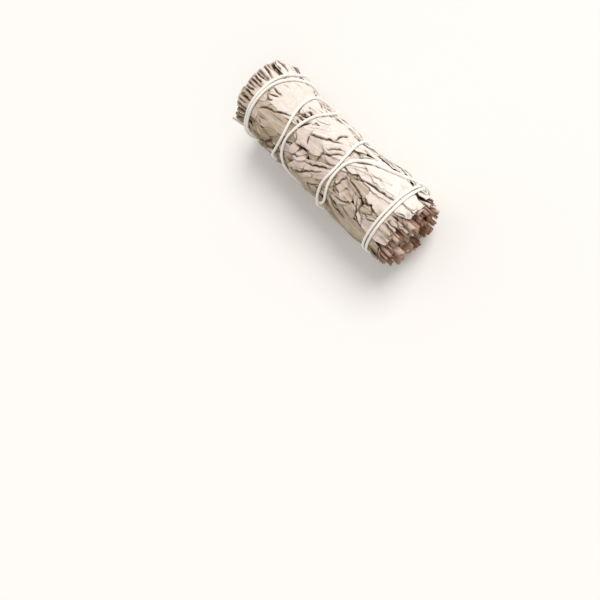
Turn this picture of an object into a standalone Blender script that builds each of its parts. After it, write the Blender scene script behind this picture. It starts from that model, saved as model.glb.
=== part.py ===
"""A tied bundle of dried white sage, lying on its side.

Leafy stems are laid side by side, pressed into a round roll and bound with one cotton string.
The roll lies along X with its cut stems at +X and the trimmed leaf tips at -X, and it rests on z = 0.
Places on the roll are written as (along, turn): millimetres from the tip end, and degrees round
the axis, 0 on top, 90 on the +Y side, -90 on the -Y side.
"""

import math
import random

import bmesh
import bpy
import numpy as np
from mathutils import Matrix, Vector
from mathutils.bvhtree import BVHTree

MM = 0.001

# Driving dimensions, in millimetres
LENGTH = 104.0
LEAF_RADIUS = 18.9
STRING_DIAMETER = 1.3
CLEARANCE = 0.3
# The axis is nearer the surface than the leaves reach, so their lowest bulges are pressed flat
AXIS_HEIGHT = LEAF_RADIUS - 1.0

# The dense middle of the roll, short of both ends, and where the leaves round it are trimmed
CORE_RADIUS = 15.2
CORE_START = 9.0
CORE_END = 91.0
CORE_SIDES = 24
LEAF_END = 98.0
TIP_RAGGEDNESS = 3.0
FOOT_RAGGEDNESS = 2.2

# How leaves lie: each settles over what is below it, stands LEAF_STEP above that, and is sunk well in
LEAF_STEP = 0.42
LEAF_SINK = 3.0
SETTLING_PASSES = 8
# Bulges past this radius are pressed to a share of their height, after the roll is evened out
EVENING_WIDTH = 7.0
BULGE_START = 18.0
BULGE_KEPT = 0.4
# The string draws the leaves in by this share of their height, fading over this distance
PINCH = 0.35
PINCH_WIDTH = 3.0
# Past its string the tip end draws in to this share of its radius
TIP_TAPER = 0.97
TIP_TAPER_START = 6.5
# The string draws the middle of the +Y side in by this share, most at this turn, between these places
WAIST = 0.13
WAIST_TURN = 80.0
WAIST_PLACES = (14.0, 27.0, 62.0, 82.0)

# Grid points along and across a leaf as it settles, and those that its solid keeps
STATIONS = 9
COLUMNS = 5
TOP_STATIONS = (0, 3, 6, 8)
UNDER_STATIONS = (0, 4, 8)
KEPT_COLUMNS = (0, 2, 4)

# The stems stand in rings: (distance from the axis, count)
STEM_RINGS = ((0.0, 1), (5.6, 6), (11.2, 12))
STEM_INNER_END = 16.0
LONGEST_STEM = 4

# The string's route on the roll: (degrees wound since the knot, millimetres along)
KNOT_TURN = 130.0
WINDING = (
    (0, 87.8), (130, 88.0), (230, 88.4), (310, 89.0), (400, 89.6), (490, 89.8), (590, 90.4), (670, 91.2),
    (730, 91.8), (765, 91.2), (780, 87.4), (800, 77.0), (821, 64.4), (844, 60.5), (872, 60.2), (910, 62.6),
    (970, 52.5), (1030, 42.0), (1090, 31.5), (1155, 25.2), (1185, 26.5), (1210, 28.5), (1236, 29.7),
    (1260, 28.8), (1283, 26.2), (1330, 24.6), (1390, 23.4), (1450, 20.8), (1495, 17.6), (1510, 15.2),
    (1541, 11.0), (1560, 9.4), (1590, 8.8), (1617, 8.4), (1645, 7.5), (1750, 8.3), (1830, 11.0),
    (1864, 11.8), (1892, 9.2), (1920, 8.0), (1950, 7.4), (1977, 7.0), (2005, 6.1), (2050, 8.4),
    (2075, 11.0), (2110, 16.4), (2145, 23.4), (2170, 28.6), (2200, 34.6), (2222, 36.8), (2245, 36.4),
    (2270, 34.4), (2290, 32.9), (2316, 31.2), (2335, 31.8), (2350, 33.0), (2367, 36.0), (2390, 43.4),
    (2410, 48.6), (2440, 51.6), (2490, 53.4), (2550, 55.0), (2604, 56.5), (2634, 58.6), (2657, 59.0),
    (2685, 57.6), (2721, 58.2), (2760, 62.0), (2880, 86.8),
)
WINDING_ROUNDING = 9.0
# A point of the string's bar every STRING_STEP degrees, with its height felt in finer parts
STRING_STEP = 15.0
STRING_PARTS = 5
OWN_TURN = 330.0
STRING_GAP = 0.25
STRING_OVER_FLOOR = 0.12
# Below this height the string runs in a slot in the underside, this much wider on each side
SLOT_TOP = 3.3
SLOT_SPARE = 0.5
KNOT_RADIUS = 1.9
# The tails leave the knot by (along, turn, outwards)
HEAD_TAIL = (1.5, 6.0, 3.0)
END_TAIL = (-5.0, -12.0, 0.65)
# Six sides on every round bar
BAR_RESOLUTION = 1

# Leaves that show on top, each (foot along, foot turn, heading, length, half width, torn or not).
# Heading is in degrees on the unrolled surface: 180 points to the tip end, 90 towards +turn.
SHOWN_LEAVES = (
    (30, -60, 185, 27, 4.2, False), (47, -57, 193, 22, 4.2, False), (97, -72, 178, 36, 4.2, True),
    (64, -72, 182, 34, 4.4, False), (97, -52, 180, 34, 4.2, False), (64, -33, 208, 30, 4.0, False),
    (62, -22, 212, 29, 3.8, False), (60, -11, 214, 27, 4.2, False), (30, -36, 182, 24, 5.2, False),
    (31, -15, 193, 25, 5.6, False), (57, 46, 190, 27, 6.2, False), (36, 46, 181, 33, 6.0, False),
    (37, 13, 176, 33, 6.6, False), (58, 29, 199, 25, 4.6, False), (50, -3, 185, 17, 4.2, True),
    (45, -24, 200, 10, 2.8, True), (58, 2, 186, 8, 2.6, True), (59, 15, 205, 11, 2.4, False),
    (60, 1, 40, 19, 2.9, False), (61, 13, 44, 19, 2.6, False), (64, 34, 30, 20, 3.4, False),
    (79, -36, 178, 14, 2.8, True), (74, -18, 178, 12, 3.8, True), (98, -28, 182, 17, 4.4, False),
    (82, -5, 174, 17, 2.2, False), (76, -13, 306, 12, 1.6, False), (97, 2, 180, 19, 4.7, True),
    (89, 20, 186, 24, 3.4, False), (92, 42, 186, 29, 7.0, False), (86, 18, 5, 11.5, 3.8, True),
    (86, 38, 0, 12, 4.2, True), (86, -9, 0, 11.5, 2.8, True),
)
# The leaves under those, and the outer ones on the other sides: (foot along, count round, half width)
UNDER_ROWS = ((29, 9, 7.8), (52, 8, 8.2), (75, 8, 8.2), (97, 9, 7.8))
UNDER_COUNT = sum(count for _, count, _ in UNDER_ROWS)
OUTER_ROWS = ((31, 5, 5.8), (53, 5, 5.6), (75, 5, 5.6), (97, 5, 5.6))
OUTER_FIRST_TURN = 75.0
OUTER_SPAN = 205.0

# Folded leaf ends inside the roll's two mouths: (distance from the axis, count)
TIP_RINGS = ((14.2, 9), (9.6, 7), (4.4, 4))
BUTT_RINGS = ((14.0, 8),)
END_LEAF_ROOT = 3.0
END_LEAF_THICKNESS = 0.8
END_LEAF_COLUMNS = 4

# A map of the roll's unrolled surface, a row every millimetre and a column every 3 degrees
MAP_STEP = 1.0
MAP_TURN_STEP = 3.0
MAP_MARGIN = 8
MAP_ROWS = int(LENGTH / MAP_STEP) + 2 * MAP_MARGIN + 1
MAP_COLUMNS = int(360 / MAP_TURN_STEP)


# Exact arithmetic leaves sealed pockets where this many blades cross, and this solver doesn't
CROWDED_SOLVER = "MANIFOLD"


def clear_scene():
    for obj in list(bpy.data.objects):
        bpy.data.objects.remove(obj, do_unlink=True)


def material(name, colour, roughness):
    made = bpy.data.materials.new(name)
    made.use_nodes = True
    shader = made.node_tree.nodes["Principled BSDF"]
    shader.inputs["Base Color"].default_value = (*colour, 1.0)
    shader.inputs["Roughness"].default_value = roughness
    shader.inputs["Metallic"].default_value = 0.0
    return made


def on_roll(along, turn, radius):
    """The point in metres at that place on the roll, radius millimetres from its axis."""
    angle = math.radians(turn)
    across, height = radius * math.sin(angle), radius * math.cos(angle)
    return Vector((along - LENGTH / 2, across, AXIS_HEIGHT + height)) * MM


def add_object(name, bm, collection=None):
    mesh = bpy.data.meshes.new(name)
    bm.to_mesh(mesh)
    bm.free()
    obj = bpy.data.objects.new(name, mesh)
    (collection or bpy.context.scene.collection).objects.link(obj)
    return obj


def apply_boolean(obj, operation, collection, solver="EXACT"):
    """Joins to obj, or cuts from it, all that the collection holds, and removes those objects."""
    modifier = obj.modifiers.new("Boolean", "BOOLEAN")
    modifier.operation = operation
    modifier.operand_type = "COLLECTION"
    modifier.collection = collection
    modifier.solver = solver
    graph = bpy.context.evaluated_depsgraph_get()
    solid = bpy.data.meshes.new_from_object(obj.evaluated_get(graph))
    obj.modifiers.clear()
    obj.data = solid
    for piece in list(collection.objects):
        bpy.data.objects.remove(piece, do_unlink=True)
    bpy.data.collections.remove(collection)


def gathering(name):
    collection = bpy.data.collections.new(name)
    bpy.context.scene.collection.children.link(collection)
    return collection


def keep_largest_body(obj):
    """Drops the loose scraps and sealed pockets that joining and cutting leave."""
    bm = bmesh.new()
    bm.from_mesh(obj.data)
    unseen = set(bm.faces)
    bodies = []
    while unseen:
        body = [unseen.pop()]
        for face in body:
            near = {other for edge in face.edges for other in edge.link_faces} & unseen
            unseen -= near
            body.extend(near)
        bodies.append(body)
    bodies.remove(max(bodies, key=len))
    scraps = [face for body in bodies for face in body]
    bmesh.ops.delete(bm, geom=scraps, context="FACES")
    bm.to_mesh(obj.data)
    bm.free()


# The string's route


def winding_at(turned):
    """(along, turn) of the string after that many degrees round the roll."""
    wound, places = zip(*WINDING)
    return float(np.interp(turned, wound, places)), KNOT_TURN - turned


def smoothed_winding(step):
    """The winding's places every step degrees, with the corners of the list rounded off."""
    last = WINDING[-1][0]
    turned = np.linspace(0, last, int(round(last / step)) + 1)
    offsets = np.linspace(-WINDING_ROUNDING, WINDING_ROUNDING, 7)
    places = []
    for value in turned:
        window = [winding_at(min(max(value + offset, 0), last))[0] for offset in offsets]
        places.append((sum(window) / len(window), KNOT_TURN - value))
    return places


def pinch_map():
    """How strongly the string pulls the leaves in, from 0 to 1, over the whole surface."""
    pull = np.zeros((MAP_ROWS, MAP_COLUMNS))
    rows = (np.arange(MAP_ROWS) - MAP_MARGIN) * MAP_STEP
    turns = np.arange(MAP_COLUMNS) * MAP_TURN_STEP
    for along, turn in smoothed_winding(MAP_TURN_STEP):
        off_turn = (turns - turn + 180) % 360 - 180
        off_arc = np.radians(off_turn) * LEAF_RADIUS
        square = (rows[:, None] - along) ** 2 + off_arc[None, :] ** 2
        pull = np.maximum(pull, np.exp(-square / (2 * PINCH_WIDTH**2)))
    return pull


# The leaves


def map_value(field, along, turn):
    """Reads a surface map between its grid points."""
    row = np.clip(along / MAP_STEP + MAP_MARGIN, 0, MAP_ROWS - 1.001)
    column = (turn % 360) / MAP_TURN_STEP
    row0, column0 = np.floor(row).astype(int), np.floor(column).astype(int)
    row_part, column_part = row - row0, column - column0
    column0 %= MAP_COLUMNS
    column1 = (column0 + 1) % MAP_COLUMNS
    near = field[row0, column0] * (1 - column_part) + field[row0, column1] * column_part
    far = field[row0 + 1, column0] * (1 - column_part) + field[row0 + 1, column1] * column_part
    return near * (1 - row_part) + far * row_part


def half_width(share, widest, torn):
    """A sage leaf's outline: a narrow foot, widest before the middle, then a blunt point or a torn end."""
    foot = 0.45 + 0.55 * np.sin(np.clip(share / 0.42, 0, 1) * math.pi / 2)
    end = 0.5 if torn else 0.0
    fall = np.clip((share - 0.42) / 0.58, 0, 1)
    return widest * foot * (end + (1 - end) * np.sqrt(1 - fall**2.2))


def footprint(leaf, stations, columns):
    """(along, turn) of a leaf's grid of points on the unrolled surface, cut off square at its limits."""
    along, turn, heading, length, widest, torn, sweep, first, last = leaf
    share = np.linspace(0, 1, stations)[:, None]
    side = np.linspace(-1, 1, columns)[None, :]
    forward = share * length + 0 * side
    across = side * half_width(share, widest, torn) + sweep * share**2
    angle = math.radians(heading)
    place = along + forward * math.cos(angle) - across * math.sin(angle)
    arc = forward * math.sin(angle) + across * math.cos(angle)
    return place.clip(first, last), turn + np.degrees(arc / LEAF_RADIUS)


def resample(grid, stations, columns):
    """The same sheet of values on a finer grid."""
    rows = np.linspace(0, grid.shape[0] - 1, stations)
    cols = np.linspace(0, grid.shape[1] - 1, columns)
    tall = np.array([np.interp(rows, np.arange(grid.shape[0]), column) for column in grid.T]).T
    return np.array([np.interp(cols, np.arange(grid.shape[1]), row) for row in tall])


def settle(surface, leaf, lift):
    """Lays a leaf on the surface map, raises the map by it, and returns the leaf's radii."""
    along, turn = footprint(leaf, STATIONS, COLUMNS)
    floor = map_value(surface, along, turn)
    radii = floor.copy()
    for _ in range(SETTLING_PASSES):
        padded = np.pad(radii, 1, mode="edge")
        around = padded[:-2, 1:-1] + padded[2:, 1:-1] + padded[1:-1, :-2] + padded[1:-1, 2:]
        radii = np.maximum(floor, around / 4)
    side = np.linspace(-1, 1, COLUMNS)[None, :]
    radii = radii + LEAF_STEP + lift * side**2
    radii[-1] = radii[-1].mean()
    dense_along, dense_turn = footprint(leaf, 48, 21)
    dense = resample(radii, 48, 21)
    rows = np.round(dense_along / MAP_STEP + MAP_MARGIN).astype(int).clip(0, MAP_ROWS - 1)
    cols = np.round((dense_turn % 360) / MAP_TURN_STEP).astype(int) % MAP_COLUMNS
    np.maximum.at(surface, (rows, cols), dense)
    return radii


def trimmed(leaf, draw):
    """Shortens a leaf that would pass the trimmed ends of the roll, which leaves a cut end."""
    along, turn, heading, length, widest, torn, sweep = leaf
    first = max(draw.uniform(-0.1, 1) * TIP_RAGGEDNESS, 0)
    last = LEAF_END - draw.uniform(0, FOOT_RAGGEDNESS)
    along = min(along, last)
    forward = math.cos(math.radians(heading))
    limit = first if forward < 0 else last
    room = (limit - along) / forward if abs(forward) > 0.2 else length
    cut = length > room
    return along, turn, heading, min(length, room), widest, torn or cut, sweep, first, last


def ring_of_leaves(draw, along, count, widest, start_turn, span):
    """Leaves side by side round the roll, each pointing roughly at the tip end."""
    leaves = []
    for number in range(count):
        turn = start_turn + (number + draw.uniform(0.2, 0.8)) * span / count
        heading = 180 + draw.uniform(-17, 17)
        length = draw.uniform(24, 34)
        foot = along + draw.uniform(-4, 3)
        wide = widest * draw.uniform(0.8, 1.05)
        torn = draw.random() < 0.25
        leaves.append((foot, turn, heading, length, wide, torn, draw.uniform(-2.5, 2.5)))
    return leaves


def all_leaves():
    """Every wrapping leaf from the inside out, by one seeded rule and then the list that shows."""
    draw = random.Random(7)
    leaves = []
    for along, count, widest in UNDER_ROWS:
        leaves += ring_of_leaves(draw, along, count, widest, draw.uniform(0, 30), 360)
    for along, count, widest in OUTER_ROWS:
        leaves += ring_of_leaves(draw, along, count, widest, OUTER_FIRST_TURN, OUTER_SPAN)
    for along, turn, heading, length, widest, torn in SHOWN_LEAVES:
        leaves.append((along, turn, heading, length, widest, torn, draw.uniform(-1.2, 1.2)))
    return [trimmed(leaf, draw) for leaf in leaves]


def blurred(field):
    """A surface map averaged over EVENING_WIDTH, round the roll and along it."""
    reach = int(2 * EVENING_WIDTH / MAP_STEP)
    weights = np.exp(-0.5 * (np.arange(-reach, reach + 1) * MAP_STEP / EVENING_WIDTH) ** 2)
    padded = np.pad(field, ((reach, reach), (0, 0)), mode="edge")
    along = sum(w * padded[i:i + MAP_ROWS] for i, w in enumerate(weights)) / weights.sum()
    arc_step = math.radians(MAP_TURN_STEP) * LEAF_RADIUS
    reach = int(2 * EVENING_WIDTH / arc_step)
    shifts = range(-reach, reach + 1)
    weights = [math.exp(-0.5 * (shift * arc_step / EVENING_WIDTH) ** 2) for shift in shifts]
    return sum(w * np.roll(along, shift, axis=1) for w, shift in zip(weights, shifts)) / sum(weights)


def drawn_in(along, turn, radius):
    """The radius after the tip end tapers and the middle of the +Y side is drawn in."""
    taper = np.interp(along, (0, TIP_TAPER_START), (TIP_TAPER, 1))
    share = np.interp(along, WAIST_PLACES, (0, 1, 1, 0))
    facing = np.cos(np.radians(turn - WAIST_TURN)).clip(0, None)
    return radius * taper * (1 - WAIST * share**2 * (3 - 2 * share) * facing**3)


def pressed_leaves():
    """(along, turn, radii) grids of every leaf, pressed to an even roll and pulled in by the string."""
    surface = np.full((MAP_ROWS, MAP_COLUMNS), CORE_RADIUS)
    draw = random.Random(11)
    laid = []
    for leaf in all_leaves():
        radii = settle(surface, leaf, draw.uniform(-0.1, 0.35))
        laid.append((*footprint(leaf, STATIONS, COLUMNS), radii))
    bare_rows = MAP_MARGIN + int(TIP_RAGGEDNESS) + 1
    surface[:bare_rows] = surface[bare_rows]
    bare_rows = MAP_MARGIN + int(LENGTH - LEAF_END + FOOT_RAGGEDNESS) + 2
    surface[-bare_rows:] = surface[-bare_rows - 1]
    scale = (LEAF_RADIUS - CORE_RADIUS) / (blurred(surface) - CORE_RADIUS)
    pull = pinch_map()
    pressed = []
    for along, turn, radii in laid:
        evened = CORE_RADIUS + (radii - CORE_RADIUS) * map_value(scale, along, turn)
        bulge = (evened - BULGE_START).clip(0, None)
        evened = evened - bulge * (1 - BULGE_KEPT)
        kept = 1 - PINCH * map_value(pull, along, turn)
        pressed.append((along, turn, drawn_in(along, turn, CORE_RADIUS + (evened - CORE_RADIUS) * kept)))
    return pressed


def solid_sheet(bm, thickness):
    """Gives an open sheet its thickness, with both faces split into triangles alike."""
    bmesh.ops.remove_doubles(bm, verts=bm.verts, dist=0.02 * MM)
    bmesh.ops.triangulate(bm, faces=bm.faces)
    bmesh.ops.recalc_face_normals(bm, faces=bm.faces)
    bmesh.ops.solidify(bm, geom=list(bm.faces), thickness=thickness * MM)
    bmesh.ops.recalc_face_normals(bm, faces=bm.faces)


def leaf_blade(number, along, turn, radii, collection):
    """One wrapping leaf: a grid bent on to the roll, thickened inwards into what it grows from."""
    bm = bmesh.new()
    stations = UNDER_STATIONS if number < UNDER_COUNT else TOP_STATIONS
    columns = len(KEPT_COLUMNS)
    bmesh.ops.create_grid(bm, x_segments=columns - 1, y_segments=len(stations) - 1, size=1)
    bm.verts.ensure_lookup_table()
    for index, vert in enumerate(bm.verts):
        place = stations[index // columns], KEPT_COLUMNS[index % columns]
        vert.co = on_roll(along[place], turn[place], radii[place])
    bmesh.ops.remove_doubles(bm, verts=bm.verts, dist=0.02 * MM)
    bmesh.ops.triangulate(bm, faces=bm.faces)
    grown = bmesh.ops.extrude_face_region(bm, geom=list(bm.faces))
    for item in grown["geom"]:
        if isinstance(item, bmesh.types.BMVert):
            outward = Vector((0, item.co.y, item.co.z - AXIS_HEIGHT * MM))
            item.co -= outward.normalized() * LEAF_SINK * MM
    bmesh.ops.recalc_face_normals(bm, faces=bm.faces)
    return add_object(f"leaf {number}", bm, collection)


def folded_leaf_end(draw, inner, outer, distance, turn, wide, number, collection):
    """A leaf inside the roll, folded lengthwise, whose trimmed end shows in an end face."""
    bm = bmesh.new()
    bmesh.ops.create_grid(bm, x_segments=END_LEAF_COLUMNS - 1, y_segments=1, size=1)
    bm.verts.ensure_lookup_table()
    curl = math.radians(draw.uniform(70, 190)) * draw.choice((-1, 1))
    fold_radius = wide / abs(curl)
    lean = draw.uniform(-35, 35)
    flare = draw.uniform(-0.6, 0.8)
    frame = Matrix.Rotation(-math.radians(turn + lean), 3, "X")
    side_sign = math.copysign(1, curl)
    for index, vert in enumerate(bm.verts):
        share = index % END_LEAF_COLUMNS / (END_LEAF_COLUMNS - 1) - 0.5
        at_end = index // END_LEAF_COLUMNS
        angle = abs(curl) * share
        section = Vector((0, fold_radius * math.sin(angle), side_sign * fold_radius * (math.cos(angle) - 1)))
        along = outer if at_end else inner
        centre = on_roll(along, turn, drawn_in(along, turn, distance + flare * at_end))
        vert.co = centre + (frame @ section) * MM
    solid_sheet(bm, END_LEAF_THICKNESS)
    return add_object(f"end leaf {number}", bm, collection)


def end_leaves(collection):
    """The trimmed leaf ends in both mouths of the roll, in loose rings round the axis."""
    draw = random.Random(23)
    tip = (TIP_RINGS, CORE_START + END_LEAF_ROOT, 0.2, 3.4)
    butt = (BUTT_RINGS, CORE_END - END_LEAF_ROOT, 95.0, 99.5)
    number = 0
    for rings, inner, shortest, longest in (tip, butt):
        for distance, count in rings:
            for place in range(count):
                turn = (place + draw.uniform(-0.25, 0.25)) * 360 / count + distance * 7
                spacing = 2 * math.pi * distance / count
                wide = min(spacing * 1.15, 8.5) * draw.uniform(0.8, 1.0)
                out = draw.uniform(shortest, longest)
                off = distance + draw.uniform(-0.5, 0.4)
                folded_leaf_end(draw, inner, out, off, turn, wide, number, collection)
                number += 1


def packed_core():
    """The dense middle of the bundle, where leaves and stems are pressed into one mass."""
    bm = bmesh.new()
    length = CORE_END - CORE_START
    middle = (CORE_START + CORE_END) / 2
    place = Matrix.Translation(on_roll(middle, 0, 0)) @ Matrix.Rotation(math.pi / 2, 4, "Y")
    bmesh.ops.create_cone(
        bm,
        cap_ends=True,
        segments=CORE_SIDES,
        radius1=CORE_RADIUS * MM,
        radius2=CORE_RADIUS * MM,
        depth=length * MM,
        matrix=place,
    )
    return add_object("leaf_bunch", bm)


# The stems


def stem_places():
    """(distance from the axis, turn, radius, where the cut end is) of every stem."""
    draw = random.Random(5)
    places = []
    for distance, count in STEM_RINGS:
        for place in range(count):
            turn = (place + draw.uniform(-0.16, 0.16)) * 360 / count + distance * 4
            off = distance + draw.uniform(-0.4, 0.4) * (distance > 0)
            thick = draw.uniform(1.5, 2.25)
            cut = LENGTH - draw.uniform(0.0, 5.5)
            places.append((off, turn, thick, cut))
    places[LONGEST_STEM] = (*places[LONGEST_STEM][:3], LENGTH)
    return places


def bar(name, points, radii, collection=None):
    """A round bar through the points, closed at both ends, as a mesh."""
    curve = bpy.data.curves.new(name, "CURVE")
    curve.dimensions = "3D"
    curve.bevel_depth = 1.0
    curve.bevel_resolution = BAR_RESOLUTION
    curve.use_fill_caps = True
    spline = curve.splines.new("POLY")
    spline.points.add(len(points) - 1)
    for knot, point, radius in zip(spline.points, points, radii):
        knot.co = (*point, 1)
        knot.radius = radius * MM
    holder = bpy.data.objects.new(name, curve)
    bpy.context.scene.collection.objects.link(holder)
    graph = bpy.context.evaluated_depsgraph_get()
    bm = bmesh.new()
    bm.from_mesh(holder.evaluated_get(graph).to_mesh())
    bpy.data.objects.remove(holder, do_unlink=True)
    bmesh.ops.remove_doubles(bm, verts=bm.verts, dist=0.001 * MM)
    bmesh.ops.recalc_face_normals(bm, faces=bm.faces)
    return add_object(name, bm, collection)


def stem_route(distance, turn, cut, over=0.0):
    """A stem's line: straight at the cut end, and drawn in a little towards the leaf tips."""
    return [
        on_roll(cut + over, turn, distance),
        on_roll(62, turn + 3, distance * 0.94),
        on_roll(STEM_INNER_END - over, turn + 9, distance * 0.82),
    ]


def add_stems(bark, holes):
    """Each stem as its own object, and the hole for it in the pressed leaves."""
    for number, (distance, turn, thick, cut) in enumerate(stem_places(), start=1):
        radii = [thick, thick * 0.85, thick * 0.5]
        stem = bar(f"stem_{number:02d}", stem_route(distance, turn, cut), radii)
        stem.data.materials.append(bark)
        loose = [radius + CLEARANCE for radius in radii]
        bar(f"hole {number}", stem_route(distance, turn, cut, over=2 * CLEARANCE), loose, holes)


# The string


def leaf_height(tree, along, turn):
    """How far out the pressed leaves reach at that place, in millimetres from the axis."""
    start = on_roll(along, turn, 2 * LEAF_RADIUS)
    inward = on_roll(along, turn, 0) - start
    hit = tree.ray_cast(start, inward.normalized())
    return CORE_RADIUS if hit[0] is None else 2 * LEAF_RADIUS - hit[3] / MM


def string_places(leaf_bunch):
    """(along, turn, radius) of the string's middle line, resting on the leaves and over its own turns."""
    bm = bmesh.new()
    bm.from_mesh(leaf_bunch.data)
    tree = BVHTree.FromBMesh(bm)
    bm.free()
    half = STRING_DIAMETER / 2
    fine = smoothed_winding(STRING_STEP / STRING_PARTS)
    support = np.array([
        max(leaf_height(tree, along + side, turn) for side in (-half, 0, half)) + half + CLEARANCE
        for along, turn in fine
    ])
    along = np.array([place[0] for place in fine])
    arc = np.radians([place[1] for place in fine]) * LEAF_RADIUS
    whole_turn = 2 * math.pi * LEAF_RADIUS
    apart = STRING_DIAMETER + STRING_GAP
    sag = LEAF_RADIUS * (1 - math.cos(math.radians(STRING_STEP / 2)))
    radii = np.zeros(len(fine))
    line = []
    for knot in range(0, len(fine), STRING_PARTS):
        first, last = max(knot - STRING_PARTS, 0), min(knot + STRING_PARTS, len(fine) - 1)
        need = support[first:last + 1].max()
        below = max(knot - int(OWN_TURN / STRING_STEP) * STRING_PARTS, 0)
        for place in range(first, last + 1):
            off_arc = (arc[:below] - arc[place] + whole_turn / 2) % whole_turn - whole_turn / 2
            square = (along[:below] - along[place]) ** 2 + off_arc**2
            over = radii[:below] + np.sqrt((apart**2 - square).clip(0, None))
            need = max([need, *over[square < apart**2]])
        radius = min(need + sag, floor_limit(fine[knot][1]))
        before = line[-1][2] if line else radius
        radii[first:knot + 1] = np.linspace(before, radius, knot + 1 - first)
        line.append((*fine[knot], radius))
    return line


def floor_limit(turn):
    """The radius at which the string's underside meets the surface that the roll lies on."""
    down = -math.cos(math.radians(turn))
    lowest = AXIS_HEIGHT - STRING_DIAMETER / 2 - STRING_OVER_FLOOR
    return lowest / down if down > 0.3 else 10 * LEAF_RADIUS


def add_slots(line, holes):
    """Slots that press the string into the underside, where it lies between the roll and the surface."""
    depth = STRING_OVER_FLOOR + STRING_DIAMETER + CLEARANCE + SLOT_SPARE
    width = STRING_DIAMETER + 2 * CLEARANCE + 2 * SLOT_SPARE
    points = [on_roll(*place) for place in line]
    low = [point.z < SLOT_TOP * MM for point in points] + [False]
    start = 0
    for index in range(1, len(low)):
        if low[index] and not low[index - 1]:
            start = index
        if low[index - 1] and not low[index]:
            run = points[index - 1] - points[start]
            middle = (points[index - 1] + points[start]) / 2
            place = Matrix.Translation((middle.x, middle.y, depth / 2 * MM))
            place @= Matrix.Rotation(math.atan2(run.y, run.x), 4, "Z")
            place @= Matrix.Diagonal((run.length + width * MM, width * MM, depth * MM, 1))
            bm = bmesh.new()
            bmesh.ops.create_cube(bm, size=1, matrix=place)
            add_object(f"slot {start}", bm, holes)


def add_string(line, cotton):
    """The whole string as one bar, with its knot and two short tails joined to it."""
    first, last = line[0], line[-1]
    knot_out = max(first[2], last[2])
    head_tail = (first[0] + HEAD_TAIL[0], first[1] + HEAD_TAIL[1], knot_out + HEAD_TAIL[2])
    end_tail = (last[0] + END_TAIL[0], last[1] + END_TAIL[1], knot_out + END_TAIL[2])
    route = [on_roll(*place) for place in [head_tail, *line, end_tail]]
    string = bar("string", route, [STRING_DIAMETER / 2] * len(route))
    string.data.materials.append(cotton)
    knots = gathering("knots")
    bm = bmesh.new()
    place = Matrix.Translation(on_roll((first[0] + last[0]) / 2, KNOT_TURN, knot_out))
    bmesh.ops.create_icosphere(bm, subdivisions=2, radius=KNOT_RADIUS * MM, matrix=place)
    add_object("knot", bm, knots)
    apply_boolean(string, "UNION", knots)


def add_surface(holes):
    """The surface below the roll, which takes the lowest bulges off and leaves small flats to rest on."""
    depth = LEAF_RADIUS * MM
    place = Matrix.Translation((0, 0, -depth / 2))
    place @= Matrix.Diagonal((2 * LENGTH * MM, 4 * LEAF_RADIUS * MM, depth, 1))
    bm = bmesh.new()
    bmesh.ops.create_cube(bm, size=1, matrix=place)
    add_object("surface", bm, holes)


def main():
    clear_scene()
    pressed_leaf = material("pressed sage leaf", (0.66, 0.60, 0.52), 0.9)
    bark = material("dried sage stem", (0.42, 0.27, 0.20), 0.8)
    cotton = material("cotton string", (0.86, 0.82, 0.74), 0.85)

    leaf_bunch = packed_core()
    blades = gathering("blades")
    for number, (along, turn, radii) in enumerate(pressed_leaves()):
        leaf_blade(number, along, turn, radii, blades)
    end_leaves(blades)
    apply_boolean(leaf_bunch, "UNION", blades, CROWDED_SOLVER)
    line = string_places(leaf_bunch)
    holes = gathering("holes")
    add_stems(bark, holes)
    add_slots(line, holes)
    add_surface(holes)
    apply_boolean(leaf_bunch, "DIFFERENCE", holes, CROWDED_SOLVER)
    keep_largest_body(leaf_bunch)
    leaf_bunch.data.materials.clear()
    leaf_bunch.data.materials.append(pressed_leaf)
    add_string(line, cotton)


main()
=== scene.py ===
"""A tied bundle of dried white sage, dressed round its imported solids.

The roll lies along X with its cut stems at +X and the trimmed leaf tips at -X, on the floor at z = 0.
Places on it are (along, turn): millimetres from the tip end, and degrees round the axis, 0 on top,
90 on the +Y side.
"""

import math
import random

import bmesh
import bpy
import numpy as np
from mathutils import Matrix, Vector


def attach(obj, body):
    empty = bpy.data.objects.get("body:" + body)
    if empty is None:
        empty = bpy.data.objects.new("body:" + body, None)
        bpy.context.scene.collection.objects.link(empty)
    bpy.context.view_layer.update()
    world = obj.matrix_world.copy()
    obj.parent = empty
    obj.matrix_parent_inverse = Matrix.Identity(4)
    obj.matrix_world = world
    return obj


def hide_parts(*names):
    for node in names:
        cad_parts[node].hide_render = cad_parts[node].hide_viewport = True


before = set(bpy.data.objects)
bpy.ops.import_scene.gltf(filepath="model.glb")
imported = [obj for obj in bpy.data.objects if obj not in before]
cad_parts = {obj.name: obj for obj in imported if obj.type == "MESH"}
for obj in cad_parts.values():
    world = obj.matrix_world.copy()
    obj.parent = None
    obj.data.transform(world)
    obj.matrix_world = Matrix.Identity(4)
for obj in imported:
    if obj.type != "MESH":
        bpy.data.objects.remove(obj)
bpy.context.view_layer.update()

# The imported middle
# Leaves and twigs at the heart of the roll are pressed into one brown mass. It shows only as the
# bottom of the gaps between leaves, and between the stems in the end faces.

MM = 0.001
LENGTH = 104.0
LEAF_RADIUS = 18.9
AXIS_HEIGHT = LEAF_RADIUS - 1.0
CORE_RADIUS = 15.2
HEART_RADIUS = 14.9
HEART_START = 7.5
HEART_END = 93.0
HEART_SIDES = 96
HEART_RINGS = 60
# This many rings at each end close it, drawn in to the axis
CLOSING_RINGS = 6
# The string draws the middle of the +Y side in by this share, most at this turn, between these places
WAIST = 0.13
WAIST_TURN = 80.0
WAIST_PLACES = (14.0, 27.0, 62.0, 82.0)


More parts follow.
